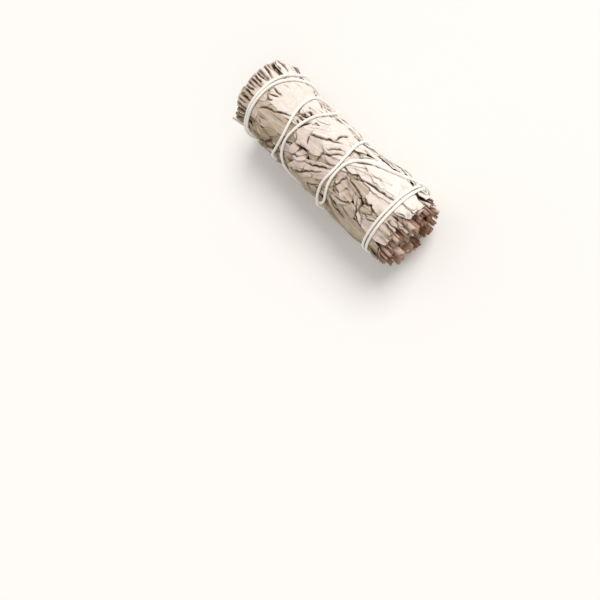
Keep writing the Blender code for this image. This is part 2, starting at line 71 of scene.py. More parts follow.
def on_roll(along, turn, radius):
    """Points in metres at those places on the roll, radius millimetres from its axis."""
    angle = np.radians(turn)
    across, height = radius * np.sin(angle), radius * np.cos(angle)
    return np.stack(np.broadcast_arrays(along - LENGTH / 2, across, AXIS_HEIGHT + height), axis=-1) * MM


def waist(along, turn):
    """The share of its radius that the roll keeps at that place."""
    share = np.interp(along, WAIST_PLACES, (0, 1, 1, 0))
    facing = np.cos(np.radians(turn - WAIST_TURN)).clip(0, None)
    return 1 - WAIST * share**2 * (3 - 2 * share) * facing**3


def linear(hex_colour):
    """An sRGB hex colour as the linear RGBA that shaders take."""
    parts = [int(hex_colour[i:i + 2], 16) / 255 for i in (1, 3, 5)]
    return (*[p / 12.92 if p <= 0.04045 else ((p + 0.055) / 1.055) ** 2.4 for p in parts], 1.0)


def add_node(tree, kind, inputs=None, **settings):
    """A shader node with its settings, and each input either linked or set."""
    node = tree.nodes.new("ShaderNode" + kind)
    for name, value in settings.items():
        setattr(node, name, value)
    for key, value in (inputs or {}).items():
        if isinstance(value, bpy.types.NodeSocket):
            tree.links.new(value, node.inputs[key])
        else:
            node.inputs[key].default_value = value
    return node


def blend_colours(tree, share, first, second):
    """The colour between first and second at that share."""
    return add_node(tree, "Mix", {0: share, 6: first, 7: second}, data_type="RGBA").outputs[2]


def noise(tree, places, scale, detail, roughness=0.5):
    """Smooth random values from 0 to 1, that many waves to the metre."""
    inputs = {"Vector": places, "Scale": scale, "Detail": detail, "Roughness": roughness}
    return add_node(tree, "TexNoise", inputs).outputs[0]


def remap(tree, value, low, high, low_to, high_to):
    """The value with low to high stretched to the other range, and held at its ends."""
    return add_node(tree, "MapRange", {0: value, 1: low, 2: high, 3: low_to, 4: high_to}).outputs[0]


def maths(tree, operation, *values, **settings):
    """The sum, product or other operation on those values."""
    return add_node(tree, "Math", dict(enumerate(values)), operation=operation, **settings).outputs[0]


def attribute(tree, name):
    """The value that the mesh holds under that name."""
    return add_node(tree, "Attribute", attribute_name=name).outputs["Fac"]


def new_material(name, roughness, sheen=0.0):
    """A material with its node tree and shader."""
    made = bpy.data.materials.new(name)
    made.use_nodes = True
    shader = made.node_tree.nodes["Principled BSDF"]
    shader.inputs["Roughness"].default_value = roughness
    shader.inputs["Sheen Weight"].default_value = sheen
    shader.inputs["Specular IOR Level"].default_value = 0.25
    return made, made.node_tree, shader


def colour_ramp(tree, value, steps):
    """The colour at that value of a ramp through those (value, colour) steps."""
    ramp = add_node(tree, "ValToRGB", {0: value})
    while len(ramp.color_ramp.elements) < len(steps):
        ramp.color_ramp.elements.new(0.5)
    for element, (position, colour) in zip(ramp.color_ramp.elements, steps):
        element.position = position
        element.color = linear(colour)
    return ramp.outputs[0]


def finish_look(tree, shader, colour, height, strength, deep, rough=None):
    """Gives the shader its colour, its bumps deep metres high and, where it varies, its roughness."""
    bump = add_node(tree, "Bump", {"Height": height, "Strength": strength, "Distance": deep})
    tree.links.new(colour, shader.inputs["Base Color"])
    tree.links.new(bump.outputs[0], shader.inputs["Normal"])
    if rough:
        tree.links.new(rough, shader.inputs["Roughness"])


def add_object(name, data):
    """A new object of the scene."""
    made = bpy.data.objects.new(name, data)
    bpy.context.scene.collection.objects.link(made)
    return made


def mesh_object(name, bm, material):
    """A new object of the scene with that mesh and material."""
    mesh = bpy.data.meshes.new(name)
    bm.to_mesh(mesh)
    bm.free()
    mesh.materials.append(material)
    return add_object(name, mesh)


def marked_mesh(*marks):
    """A mesh for one piece, with a place at its points for each of those values."""
    bm = bmesh.new()
    for mark in marks:
        bm.verts.layers.float.new(mark)
    return bm


def finish_piece(name, bm, material, replaced):
    """Makes the mesh an object that moves with the bundle and stands for those CAD nodes."""
    piece = mesh_object(name, bm, material)
    piece.data.shade_smooth()
    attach(piece, "root")
    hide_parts(*replaced)
    return piece


def closed_piece(name, bm, material, replaced, within=0.001):
    """Finishes closed surfaces as one piece, with points within that many millimetres made one."""
    bmesh.ops.remove_doubles(bm, verts=bm.verts, dist=within * MM)
    bmesh.ops.recalc_face_normals(bm, faces=bm.faces)
    return finish_piece(name, bm, material, replaced)


# Crushed leaf: fibrous brown litter with no gloss. Its brown is partly painted shade for the gaps
# where it shows, and it is painted darker in its hollows as shade
litter, tree, shader = new_material("crushed sage litter", 0.95)
places = add_node(tree, "TexCoord").outputs["Object"]
grit = noise(tree, places, 900.0, 6.0, 0.7)
litter_and_painted_shade = blend_colours(tree, grit, linear("#4A3A2A"), linear("#A08A6C"))
finish_look(tree, shader, litter_and_painted_shade, grit, 0.8, 0.0006)

bm = bmesh.new()
bmesh.ops.create_grid(bm, x_segments=HEART_SIDES, y_segments=HEART_RINGS, size=1)
draw = np.random.default_rng(3)
lumps = draw.uniform(-0.5, 0.3, (HEART_RINGS + 1, HEART_SIDES + 1))
lumps[:, -1] = lumps[:, 0]
share = np.linspace(0, 1, HEART_RINGS + 1)[:, None]
end_ring = np.minimum(np.arange(HEART_RINGS + 1), np.arange(HEART_RINGS + 1)[::-1])[:, None]
opened = np.minimum(end_ring / CLOSING_RINGS, 1)
reach = HEART_RADIUS * opened + lumps * (end_ring > 0) * opened
middle_share = np.clip((share * HEART_RINGS - CLOSING_RINGS) / (HEART_RINGS - 2 * CLOSING_RINGS), 0, 1)
along = HEART_START + (HEART_END - HEART_START) * middle_share + 1.2 * lumps * (end_ring <= CLOSING_RINGS)
turn = np.linspace(0, 360, HEART_SIDES + 1)[None, :]
for vert, point in zip(bm.verts, on_roll(along, turn, reach * waist(along, turn)).reshape(-1, 3)):
    vert.co = point
closed_piece("packed_middle", bm, litter, ["leaf_bunch"], within=0.01)

# The wrapping leaves
# Long grey-white sage leaves, dried, laid lengthwise round the roll with their tips at -X, and pressed
# flat on each other by the string. Each settles over those below it, with its own folds and torn edges.

# Where the leaves' feet are cut off, and their tips: TIP_OVER past the tip end, less a ragged part
LEAF_END = 98.0
FOOT_RAGGEDNESS = 2.2
TIP_OVER = 1.5
TIP_RAGGEDNESS = 3.0
TIP_KEPT = 0.7
# A leaf's end: whole, torn or cut by the knife, with the share of its width there and how ragged it is
CUT = 2
END_WIDTH = (0.0, 0.5, 0.9)
END_RAGGED = (0.15, 0.8, 0.45)
WIDEST_AT = 0.42
LEAF_STEP = 0.42
LEAF_THICKNESS = 0.22
SETTLING_PASSES = 14
EVENING_WIDTH = 7.0
BULGE_START = 18.0
BULGE_KEPT = 0.4
PINCH = 0.35
PINCH_WIDTH = 3.0
TIP_TAPER = 0.97
TIP_TAPER_START = 6.5
# Distance between a leaf's grid points: finest on the upper side, coarser where others cover it
SHOWN_GRAIN = 0.32
OUTER_GRAIN = 0.42
COARSE_GRAIN = 0.8
# Maps of the roll's unrolled surface
CELL = 0.25
CELL_TURN = 0.75
MAP_MARGIN = 8.0
MAP_ROWS = int((LENGTH + 2 * MAP_MARGIN) / CELL) + 1
MAP_COLUMNS = int(360 / CELL_TURN)

# Leaves that show on top, each (foot along, foot turn, heading, length, half width, torn, tone).
# Heading is in degrees on the unrolled surface: 180 points to the tip end, 90 towards +turn.
# Tone runs from 0, nearly white, over mauve and tan to 1, olive brown.
# Their tones darken towards -turn, the -Y side away from the window: partly the leaves' own colour, partly
# painted shade
SHOWN_LEAVES = (
    (30, -60, 185, 34, 4.2, False, 0.82), (47, -57, 193, 22, 4.2, False, 0.72),
    (97, -72, 178, 36, 4.2, True, 0.76), (64, -72, 182, 34, 4.4, False, 0.8),
    (97, -52, 180, 34, 4.2, False, 0.64), (64, -33, 208, 30, 4.0, False, 0.68),
    (62, -22, 212, 29, 3.8, False, 0.64), (60, -11, 214, 27, 4.2, False, 0.40),
    (30, -36, 182, 34, 5.2, False, 0.8), (31, -15, 187, 36, 5.6, False, 0.58),
    (57, 46, 190, 27, 6.2, False, 0.14), (36, 46, 181, 42, 6.0, False, 0.12),
    (37, 13, 176, 42, 6.6, False, 0.18), (58, 29, 199, 25, 4.6, False, 0.16),
    (50, -3, 185, 17, 4.2, True, 0.34), (45, -24, 200, 10, 2.8, True, 0.36),
    (58, 2, 186, 8, 2.6, True, 0.32), (59, 15, 205, 11, 2.4, False, 0.24),
    (60, 1, 40, 19, 2.9, False, 0.16), (61, 13, 44, 19, 2.6, False, 0.14),
    (64, 34, 30, 20, 3.4, False, 0.10), (79, -36, 178, 14, 2.8, True, 0.60),
    (74, -18, 178, 12, 3.8, True, 0.44), (98, -28, 182, 17, 4.4, False, 0.38),
    (82, -5, 174, 17, 2.2, False, 0.62), (76, -13, 306, 12, 1.6, False, 0.26),
    (97, 2, 180, 19, 4.7, True, 0.26), (89, 20, 186, 24, 3.4, False, 0.20),
    (92, 42, 186, 29, 7.0, False, 0.00), (86, 18, 5, 11.5, 3.8, True, 0.12),
    (86, 38, 0, 12, 4.2, True, 0.08), (86, -9, 0, 11.5, 2.8, True, 0.50),
)
# The leaves under those, and the outer ones on the other sides: (foot along, count round, half width)
UNDER_ROWS = ((29, 9, 7.8), (52, 8, 8.2), (75, 8, 8.2), (97, 9, 7.8))
OUTER_ROWS = ((31, 5, 5.8), (53, 5, 5.6), (75, 5, 5.6), (97, 5, 5.6))
# More leaves over the under ones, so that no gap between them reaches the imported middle
FILL_ROWS = ((41, 9, 7.6), (66, 9, 7.6), (90, 9, 7.6))
OUTER_FIRST_TURN = 75.0
OUTER_SPAN = 205.0
# Narrow strips and scraps caught between the broad leaves
HIDDEN_SCRAPS = 54
OUTER_SCRAPS = 64
SIDE_SCRAPS = 26
SIDE_ARC = (52.0, 34.0)
# Their tones too darken towards -turn, partly as painted shade
SHOWN_SCRAPS = (
    (34, 24, 178, 7, 1.4, True, 0.2), (33, 14, 186, 6, 1.2, True, 0.3), (33, 4, 175, 6, 1.3, True, 0.3),
    (27, -30, 205, 12, 1.6, False, 0.7), (24, -44, 176, 11, 1.4, True, 0.72),
    (38, -14, 265, 8, 2.0, True, 0.42), (56, -55, 170, 10, 2.2, False, 0.62),
    (57, -42, 196, 9, 1.6, True, 0.58), (66, 52, 20, 12, 1.6, False, 0.12),
    (63, 44, 200, 9, 1.4, True, 0.12), (70, 24, 12, 12, 1.3, False, 0.18),
    (73, -28, 200, 9, 1.6, True, 0.5), (70, -47, 185, 12, 1.4, True, 0.62),
    (80, -22, 160, 8, 1.3, True, 0.52), (84, -16, 200, 7, 1.2, True, 0.66),
    (97, -10, 178, 8, 1.1, True, 0.34), (97, -18, 183, 8, 1.2, True, 0.4),
    (96, 28, 178, 8, 1.5, True, 0.1), (42, 34, 196, 11, 1.4, False, 0.16),
    (52, -38, 204, 13, 1.5, False, 0.5), (49, 18, 204, 10, 1.4, True, 0.2),
    (13, -3, 180, 17, 3.6, True, 0.42), (13, -33, 180, 17, 3.0, True, 0.5),
    (12, 52, 180, 16, 3.2, True, 0.2),
)


def map_value(field, along, turn):
    """Reads a surface map between its grid points."""
    row = np.clip((along + MAP_MARGIN) / CELL, 0, MAP_ROWS - 1.001)
    column = (turn % 360) / CELL_TURN
    row0, column0 = np.floor(row).astype(int), np.floor(column).astype(int)
    row_part, column_part = row - row0, column - column0
    column0 %= MAP_COLUMNS
    column1 = (column0 + 1) % MAP_COLUMNS
    near = field[row0, column0] * (1 - column_part) + field[row0, column1] * column_part
    far = field[row0 + 1, column0] * (1 - column_part) + field[row0 + 1, column1] * column_part
    return near * (1 - row_part) + far * row_part


def half_width(share, widest, torn):
    """A sage leaf's outline: a narrow foot, widest before the middle, then a blunt point or a torn end."""
    foot = 0.45 + 0.55 * np.sin(np.clip(share / WIDEST_AT, 0, 1) * math.pi / 2)
    end = END_WIDTH[torn]
    fall = np.clip((share - WIDEST_AT) / (1 - WIDEST_AT), 0, 1)
    return widest * foot * (end + (1 - end) * (1 - fall**1.8) ** 0.8)


def trimmed(leaf, draw):
    """Shortens a leaf that would pass the trimmed ends of the roll, which leaves a cut end."""
    along, turn, heading, length, widest, torn, sweep = leaf
    first = max(draw.uniform(-0.1, 1) * TIP_RAGGEDNESS, 0) * TIP_KEPT - TIP_OVER
    last = LEAF_END - draw.uniform(0, FOOT_RAGGEDNESS)
    along = min(along, last)
    forward = math.cos(math.radians(heading))
    limit = first if forward < 0 else last
    room = (limit - along) / forward if abs(forward) > 0.2 else length
    cut = length > room
    return along, turn, heading, min(length, room), widest, CUT if cut else torn, sweep, first, last


def ring_of_leaves(draw, along, count, widest, start_turn, span):
    """Leaves side by side round the roll, each pointing roughly at the tip end."""
    leaves = []
    for number in range(count):
        turn = start_turn + (number + draw.uniform(0.2, 0.8)) * span / count
        heading = 180 + draw.uniform(-17, 17)
        length = draw.uniform(24, 34)
        foot = along + draw.uniform(-4, 3)
        wide = widest * draw.uniform(0.8, 1.05)
        torn = draw.random() < 0.25
        leaves.append((foot, turn, heading, length, wide, torn, draw.uniform(-2.5, 2.5)))
    return leaves


def scraps(count, start_turn, span, draw):
    """Strips and torn bits at random places, mostly lengthwise."""
    leaves = []
    for number in range(count):
        along = draw.uniform(12, 97)
        turn = start_turn + (number + draw.random()) * span / count
        heading = 180 + draw.gauss(0, 18)
        size = draw.uniform(8, 20), draw.uniform(1.2, 3.2)
        leaf = (along, turn, heading, *size, draw.random() < 0.5, draw.uniform(-1.5, 1.5))
        leaves.append(trimmed(leaf, draw))
    return leaves


def tone_of(draw):
    """Most leaves are pale, a few tan or olive."""
    return min(max(draw.gauss(0.3, 0.2), 0.0), 0.9)


def laid_leaves():
    """(leaf, tone, grain) of every wrapping leaf from the inside out."""
    draw = random.Random(7)
    under, outer = [], []
    for along, count, widest in UNDER_ROWS:
        under += ring_of_leaves(draw, along, count, widest, draw.uniform(0, 30), 360)
    for along, count, widest in OUTER_ROWS:
        outer += ring_of_leaves(draw, along, count, widest, OUTER_FIRST_TURN, OUTER_SPAN)
    shown = [(*leaf[:6], draw.uniform(-1.2, 1.2)) for leaf in SHOWN_LEAVES]
    whole = [trimmed(leaf, draw) for leaf in under + outer + shown]
    more = random.Random(19)
    fill = []
    for along, count, widest in FILL_ROWS:
        fill += [trimmed(leaf, more) for leaf in ring_of_leaves(more, along, count, widest, 20, 360)]
    rows = [(leaf, tone_of(more), COARSE_GRAIN) for leaf in whole[:len(under)] + fill]
    rows += [(leaf, tone_of(more), OUTER_GRAIN) for leaf in scraps(HIDDEN_SCRAPS, 0, 360, more)]
    rows += [(leaf, tone_of(more), OUTER_GRAIN) for leaf in whole[len(under):-len(shown)]]
    rows += [(leaf, tone_of(more), OUTER_GRAIN) for leaf in scraps(SIDE_SCRAPS, *SIDE_ARC, more)]
    other_sides = scraps(OUTER_SCRAPS, OUTER_FIRST_TURN, OUTER_SPAN, more)
    rows += [(leaf, tone_of(more), OUTER_GRAIN) for leaf in other_sides]
    tones = [leaf[6] for leaf in SHOWN_LEAVES]
    rows += [(leaf, tone, SHOWN_GRAIN) for leaf, tone in zip(whole[-len(shown):], tones)]
    for leaf in SHOWN_SCRAPS:
        rows.append((trimmed((*leaf[:6], more.uniform(-0.8, 0.8)), more), leaf[6], SHOWN_GRAIN))
    return rows


def ragged(draw, share, step, size):
    """An irregular line over share, with a random height every step."""
    count = max(int(1 / step), 2) + 1
    return np.interp(share, np.linspace(0, 1, count), [draw.uniform(-size, size) for _ in range(count)])


def footprint(leaf, grain, draw):
    """A leaf's grid on the unrolled surface: along, turn, and its own side, across and forward."""
    along, turn, heading, length, widest, torn, sweep, first, last = leaf
    stations = max(int(length / grain), 6) + 1
    columns = 2 * max(int(widest / grain), 2) + 1
    share = np.linspace(0, 1, stations)[:, None]
    side = np.linspace(-1, 1, columns)[None, :]
    width = half_width(share, widest, torn)
    edge_step = 1.3 / length
    left = 1 + ragged(draw, share, edge_step, 0.07) + ragged(draw, share, edge_step * 4, 0.08)
    right = 1 + ragged(draw, share, edge_step, 0.07) + ragged(draw, share, edge_step * 4, 0.08)
    across = side * width * np.where(side < 0, left, right)
    tear = END_RAGGED[torn]
    jag = ragged(draw, (side + 1) / 2, 0.09, tear) + ragged(draw, (side + 1) / 2, 0.3, tear)
    forward = share * length - np.abs(jag) * np.clip((share - 0.8) / 0.2, 0, 1) ** 2
    bent = across + sweep * share**2
    angle = math.radians(heading)
    place = along + forward * math.cos(angle) - bent * math.sin(angle)
    arc = forward * math.sin(angle) + bent * math.cos(angle)
    return place.clip(first, last), turn + np.degrees(arc / LEAF_RADIUS), side + 0 * share, across, forward


def folded(phase):
    """A wave with sharp folds at its crests and troughs, from -1 to 1."""
    return 2 / math.pi * np.arcsin(0.985 * np.sin(phase))


def relief(side, across, forward, lift, draw):
    """A leaf's own height in millimetres: its folded midrib, its pleats and its curled edges."""
    share = forward / forward.max()
    spine = draw.uniform(-0.3, 0.4) * (1 - np.abs(side))
    pitch = draw.uniform(2.2, 4.6)
    swing = 1.1 * np.sin(forward / draw.uniform(4, 9) + draw.uniform(0, 6))
    pleats = draw.uniform(0.03, 0.16) * folded(2 * math.pi * across / pitch + swing + draw.uniform(0, 6))
    slope = draw.uniform(0.6, 2.2) * draw.choice((-1, 1))
    tall, long = draw.uniform(0.0, 0.16), draw.uniform(1.0, 1.9)
    facets = tall * folded((forward + slope * across) / long + draw.uniform(0, 6))
    buckle = facets * np.clip(np.sin(share * draw.uniform(3, 7) + draw.uniform(0, 6)) + 0.4, 0, 1)
    curl = 0
    for edge in (-1, 1):
        middle, reach = draw.uniform(0.1, 1.0), draw.uniform(0.08, 0.3)
        stretch = np.exp(-((share - middle) / reach) ** 2)
        rise = np.clip((edge * side - 0.62) / 0.38, 0, 1) ** 2
        curl = curl + draw.uniform(-0.1, 0.75) * stretch * rise
    tip = draw.uniform(-0.1, 0.5) * np.clip((share - 0.85) / 0.15, 0, 1) ** 2
    midrib = 0.1 * np.exp(-((across / 0.45) ** 2)) * (1 - 0.6 * share)
    return spine + pleats + buckle + curl + tip + midrib + lift * side**2


def smoothed(grid):
    """A sheet of heights, each the mean of its four neighbours."""
    padded = np.pad(grid, 1, mode="edge")
    return (padded[:-2, 1:-1] + padded[2:, 1:-1] + padded[1:-1, :-2] + padded[1:-1, 2:]) / 4


def halved(grid):
    """The same sheet of values with a point midway between all its points."""
    tall = np.empty((2 * grid.shape[0] - 1, grid.shape[1]))
    tall[::2] = grid
    tall[1::2] = (grid[:-1] + grid[1:]) / 2
    wide = np.empty((tall.shape[0], 2 * grid.shape[1] - 1))
    wide[:, ::2] = tall
    wide[:, 1::2] = (tall[:, :-1] + tall[:, 1:]) / 2
    return wide


def raise_map(surface, along, turn, radii):
    """Raises a surface map to a leaf's radii wherever the leaf lies."""
    for _ in range(2):
        along, turn, radii = halved(along), halved(turn), halved(radii)
    rows = np.round((along + MAP_MARGIN) / CELL).astype(int).clip(0, MAP_ROWS - 1)
    cols = np.round((turn % 360) / CELL_TURN).astype(int) % MAP_COLUMNS
    np.maximum.at(surface, (rows, cols), radii)


def settle(surface, leaf, grain, lift, draw):
    """Lays a leaf on the surface map, raises the map by it, and returns its grids."""
    along, turn, side, across, forward = footprint(leaf, grain, draw)
    floor = map_value(surface, along, turn)
    radii = floor.copy()
    for _ in range(int(SETTLING_PASSES * (OUTER_GRAIN / grain) ** 2) + 4):
        radii = np.maximum(floor, smoothed(radii))
    radii = radii + LEAF_STEP + relief(side, across, forward, lift, draw)
    radii = np.maximum(radii, floor + LEAF_THICKNESS)
    radii = (radii + 2 * smoothed(radii)) / 3
    radii[-1] = 0.5 * radii[-1] + 0.5 * radii[-1].mean()
    raise_map(surface, along, turn, radii)
    return along, turn, radii, across, forward


def blurred(field, width):
    """A surface map averaged over that many millimetres, round the roll and along it."""
    reach = int(2.5 * width / CELL) + 1
    weights = np.exp(-0.5 * (np.arange(-reach, reach + 1) * CELL / width) ** 2)
    padded = np.pad(field, ((reach, reach), (0, 0)), mode="edge")
    along = sum(w * padded[i:i + MAP_ROWS] for i, w in enumerate(weights)) / weights.sum()
    arc_step = math.radians(CELL_TURN) * LEAF_RADIUS
    reach = int(2.5 * width / arc_step) + 1
    shifts = range(-reach, reach + 1)
    weights = [math.exp(-0.5 * (shift * arc_step / width) ** 2) for shift in shifts]
    return sum(w * np.roll(along, shift, axis=1) for w, shift in zip(weights, shifts)) / sum(weights)


# The string's route on the roll: (degrees wound since the knot, millimetres along)
KNOT_TURN = 130.0
WINDING = (
    (0, 87.8), (130, 88.0), (230, 88.4), (310, 89.0), (400, 89.6), (490, 89.8), (590, 90.4), (670, 91.2),
    (730, 91.8), (765, 91.2), (780, 87.4), (800, 77.0), (821, 64.4), (844, 60.5), (872, 60.2), (910, 62.6),
    (970, 52.5), (1030, 42.0), (1090, 31.5), (1155, 25.2), (1185, 26.5), (1210, 28.5), (1236, 29.7),
    (1260, 28.8), (1283, 26.2), (1330, 24.6), (1390, 23.4), (1450, 20.8), (1495, 17.6), (1510, 15.2),
    (1541, 11.0), (1560, 9.4), (1590, 8.8), (1617, 8.4), (1645, 7.5), (1750, 8.3), (1830, 11.0),
    (1864, 11.8), (1892, 9.2), (1920, 8.0), (1950, 7.4), (1977, 7.0), (2005, 6.1), (2050, 8.4),
    (2075, 11.0), (2110, 16.4), (2145, 23.4), (2170, 28.6), (2200, 34.6), (2222, 36.8), (2245, 36.4),
    (2270, 34.4), (2290, 32.9), (2316, 31.2), (2335, 31.8), (2350, 33.0), (2367, 36.0), (2390, 43.4),
    (2410, 48.6), (2440, 51.6), (2490, 53.4), (2550, 55.0), (2604, 56.5), (2634, 58.6), (2657, 59.0),
    (2685, 57.6), (2721, 58.2), (2760, 62.0), (2880, 86.8),
)
WINDING_ROUNDING = 9.0
STRING_DIAMETER = 1.3
STRING_OVER_FLOOR = 0.12
# Degrees of winding between the points of the string's middle line
STRING_STEP = 1.0


def smoothed_winding(step):
    """(along, turn) of the string every step degrees, with the corners of the list rounded off."""
    wound, places = zip(*WINDING)
    turned = np.arange(0, wound[-1] + step / 2, step)
    offsets = np.linspace(-WINDING_ROUNDING, WINDING_ROUNDING, 7)
    windows = [np.interp((turned + offset).clip(0, wound[-1]), wound, places) for offset in offsets]
    return np.mean(windows, axis=0), KNOT_TURN - turned


def spread_from_line(field, along, turn, width, values, keep):
    """Keeps in a map, by keep, values(distance) of every cell within width of each point of a line."""
    rows_round = int(width / CELL) + 1
    turns_round = int(math.degrees(width / LEAF_RADIUS) / CELL_TURN) + 1
    row_steps, turn_steps = np.arange(-rows_round, rows_round + 1), np.arange(-turns_round, turns_round + 1)
    for number, (place, angle) in enumerate(zip(along, turn)):
        rows = np.round((place + MAP_MARGIN) / CELL).astype(int) + row_steps
        rows = rows[(rows >= 0) & (rows < MAP_ROWS)]
        cols = np.round((angle % 360) / CELL_TURN).astype(int) + turn_steps
        off_turn = (cols * CELL_TURN - angle + 180) % 360 - 180
        off_along, off_arc = rows * CELL - MAP_MARGIN - place, np.radians(off_turn) * LEAF_RADIUS
        off = np.hypot(off_along[:, None], off_arc[None, :])
        cells = np.ix_(rows, cols % MAP_COLUMNS)
        field[cells] = keep(field[cells], values(off, number))


surface = np.full((MAP_ROWS, MAP_COLUMNS), CORE_RADIUS)
draw = random.Random(11)
laid = []
for leaf, tone, grain in laid_leaves():
    laid.append((*settle(surface, leaf, grain, draw.uniform(-0.1, 0.35), draw), tone))

# The roll is evened out to one thickness, its bulges pressed down, and the string draws it in
even = surface.copy()
bare = int((MAP_MARGIN + TIP_RAGGEDNESS + 1) / CELL)
even[:bare] = even[bare]
bare = int((MAP_MARGIN + LENGTH - LEAF_END + FOOT_RAGGEDNESS + 1) / CELL)
even[-bare:] = even[-bare - 1]
scale = (LEAF_RADIUS - CORE_RADIUS) / (blurred(even, EVENING_WIDTH) - CORE_RADIUS)
string_along, string_turn = smoothed_winding(STRING_STEP)
pull = np.zeros((MAP_ROWS, MAP_COLUMNS))
spread_from_line(
    pull, string_along[::4], string_turn[::4], 3 * PINCH_WIDTH,
    lambda off, _: np.exp(-off**2 / (2 * PINCH_WIDTH**2)), np.maximum,
)


def drawn_in(along, turn, radius):
    """The radius after the tip end tapers and the middle of the +Y side is drawn in."""
    return radius * np.interp(along, (0, TIP_TAPER_START), (TIP_TAPER, 1)) * waist(along, turn)


def pressed(along, turn, radii):
    """The radii of a leaf after the whole roll is evened out and tied."""
    evened = CORE_RADIUS + (radii - CORE_RADIUS) * map_value(scale, along, turn)
    evened = evened - (evened - BULGE_START).clip(0, None) * (1 - BULGE_KEPT)
    evened = CORE_RADIUS + (evened - CORE_RADIUS) * (1 - PINCH * map_value(pull, along, turn))
    return drawn_in(along, turn, evened)


laid = [(along, turn, pressed(along, turn, radii), *rest) for along, turn, radii, *rest in laid]
map_places = (np.arange(MAP_ROWS) * CELL - MAP_MARGIN)[:, None]
map_turns = (np.arange(MAP_COLUMNS) * CELL_TURN)[None, :]
heart = HEART_RADIUS * waist(map_places, map_turns)
top = CORE_RADIUS * waist(map_places, map_turns)
for along, turn, radii, *rest in laid:
    raise_map(top, along, turn, radii)

# How high the string lies: on the leaves, over its own earlier turns, and off the floor
STRING_SUNK = 0.1
OWN_TURN = 330.0
STRING_GAP = 0.05
TAUT_PASSES = 40
half = STRING_DIAMETER / 2
bedding = blurred(top, 0.9)
lowest = AXIS_HEIGHT - half - STRING_OVER_FLOOR
down = -np.cos(np.radians(string_turn))
off_floor = np.where(down > 0.3, lowest / np.maximum(down, 0.3), 10 * LEAF_RADIUS)
arc = np.radians(string_turn) * LEAF_RADIUS
whole_turn = 2 * math.pi * LEAF_RADIUS
apart = STRING_DIAMETER + STRING_GAP
later, earlier = np.tril_indices(len(arc), -int(OWN_TURN / STRING_STEP))
near = np.abs(string_along[later] - string_along[earlier]) < apart
later, earlier = later[near], earlier[near]
off_arc = (arc[later] - arc[earlier] + whole_turn / 2) % whole_turn - whole_turn / 2
square = (string_along[later] - string_along[earlier]) ** 2 + off_arc**2
near = square < apart**2
later, earlier, hump = later[near], earlier[near], np.sqrt(apart**2 - square[near])
on_leaves = map_value(bedding, string_along, string_turn) + half - STRING_SUNK
string_radius = on_leaves
for _ in range(4):
    need = on_leaves.copy()
    np.maximum.at(need, later, string_radius[earlier] + hump)
    string_radius = need.copy()
    for _ in range(TAUT_PASSES):
        padded = np.pad(string_radius, 3, mode="edge")
        string_radius = np.maximum(need, (padded[:-6] + padded[6:]) / 2)
    string_radius = np.minimum(string_radius, off_floor)

# Leaves end below the string and above the floor
ceiling = np.full((MAP_ROWS, MAP_COLUMNS), 2 * LEAF_RADIUS)
down = -np.cos(np.radians(map_turns))
FLOOR_GAP = 0.05
on_floor = np.where(down > 0.3, (AXIS_HEIGHT - FLOOR_GAP) / np.maximum(down, 0.3), 2 * LEAF_RADIUS)
ceiling = np.minimum(ceiling, on_floor)
STRING_ROOM = half + 0.12
STRING_SHOULDER = 1.6


def under_string(off, number):
    """How far out a leaf may reach at that distance beside the string."""
    beside = (off - STRING_ROOM).clip(0, None) * 1.1
    return string_radius[number] - np.sqrt((STRING_ROOM**2 - off**2).clip(0, None)) + beside


spread_from_line(
    ceiling, string_along, string_turn, STRING_ROOM + STRING_SHOULDER, under_string, np.minimum,
)
squeeze = ((ceiling - heart) / (np.maximum(top, ceiling) - heart)).clip(0.05, 1)
squeeze = np.minimum(squeeze, blurred(squeeze, 0.3))
top = heart + (top - heart) * squeeze

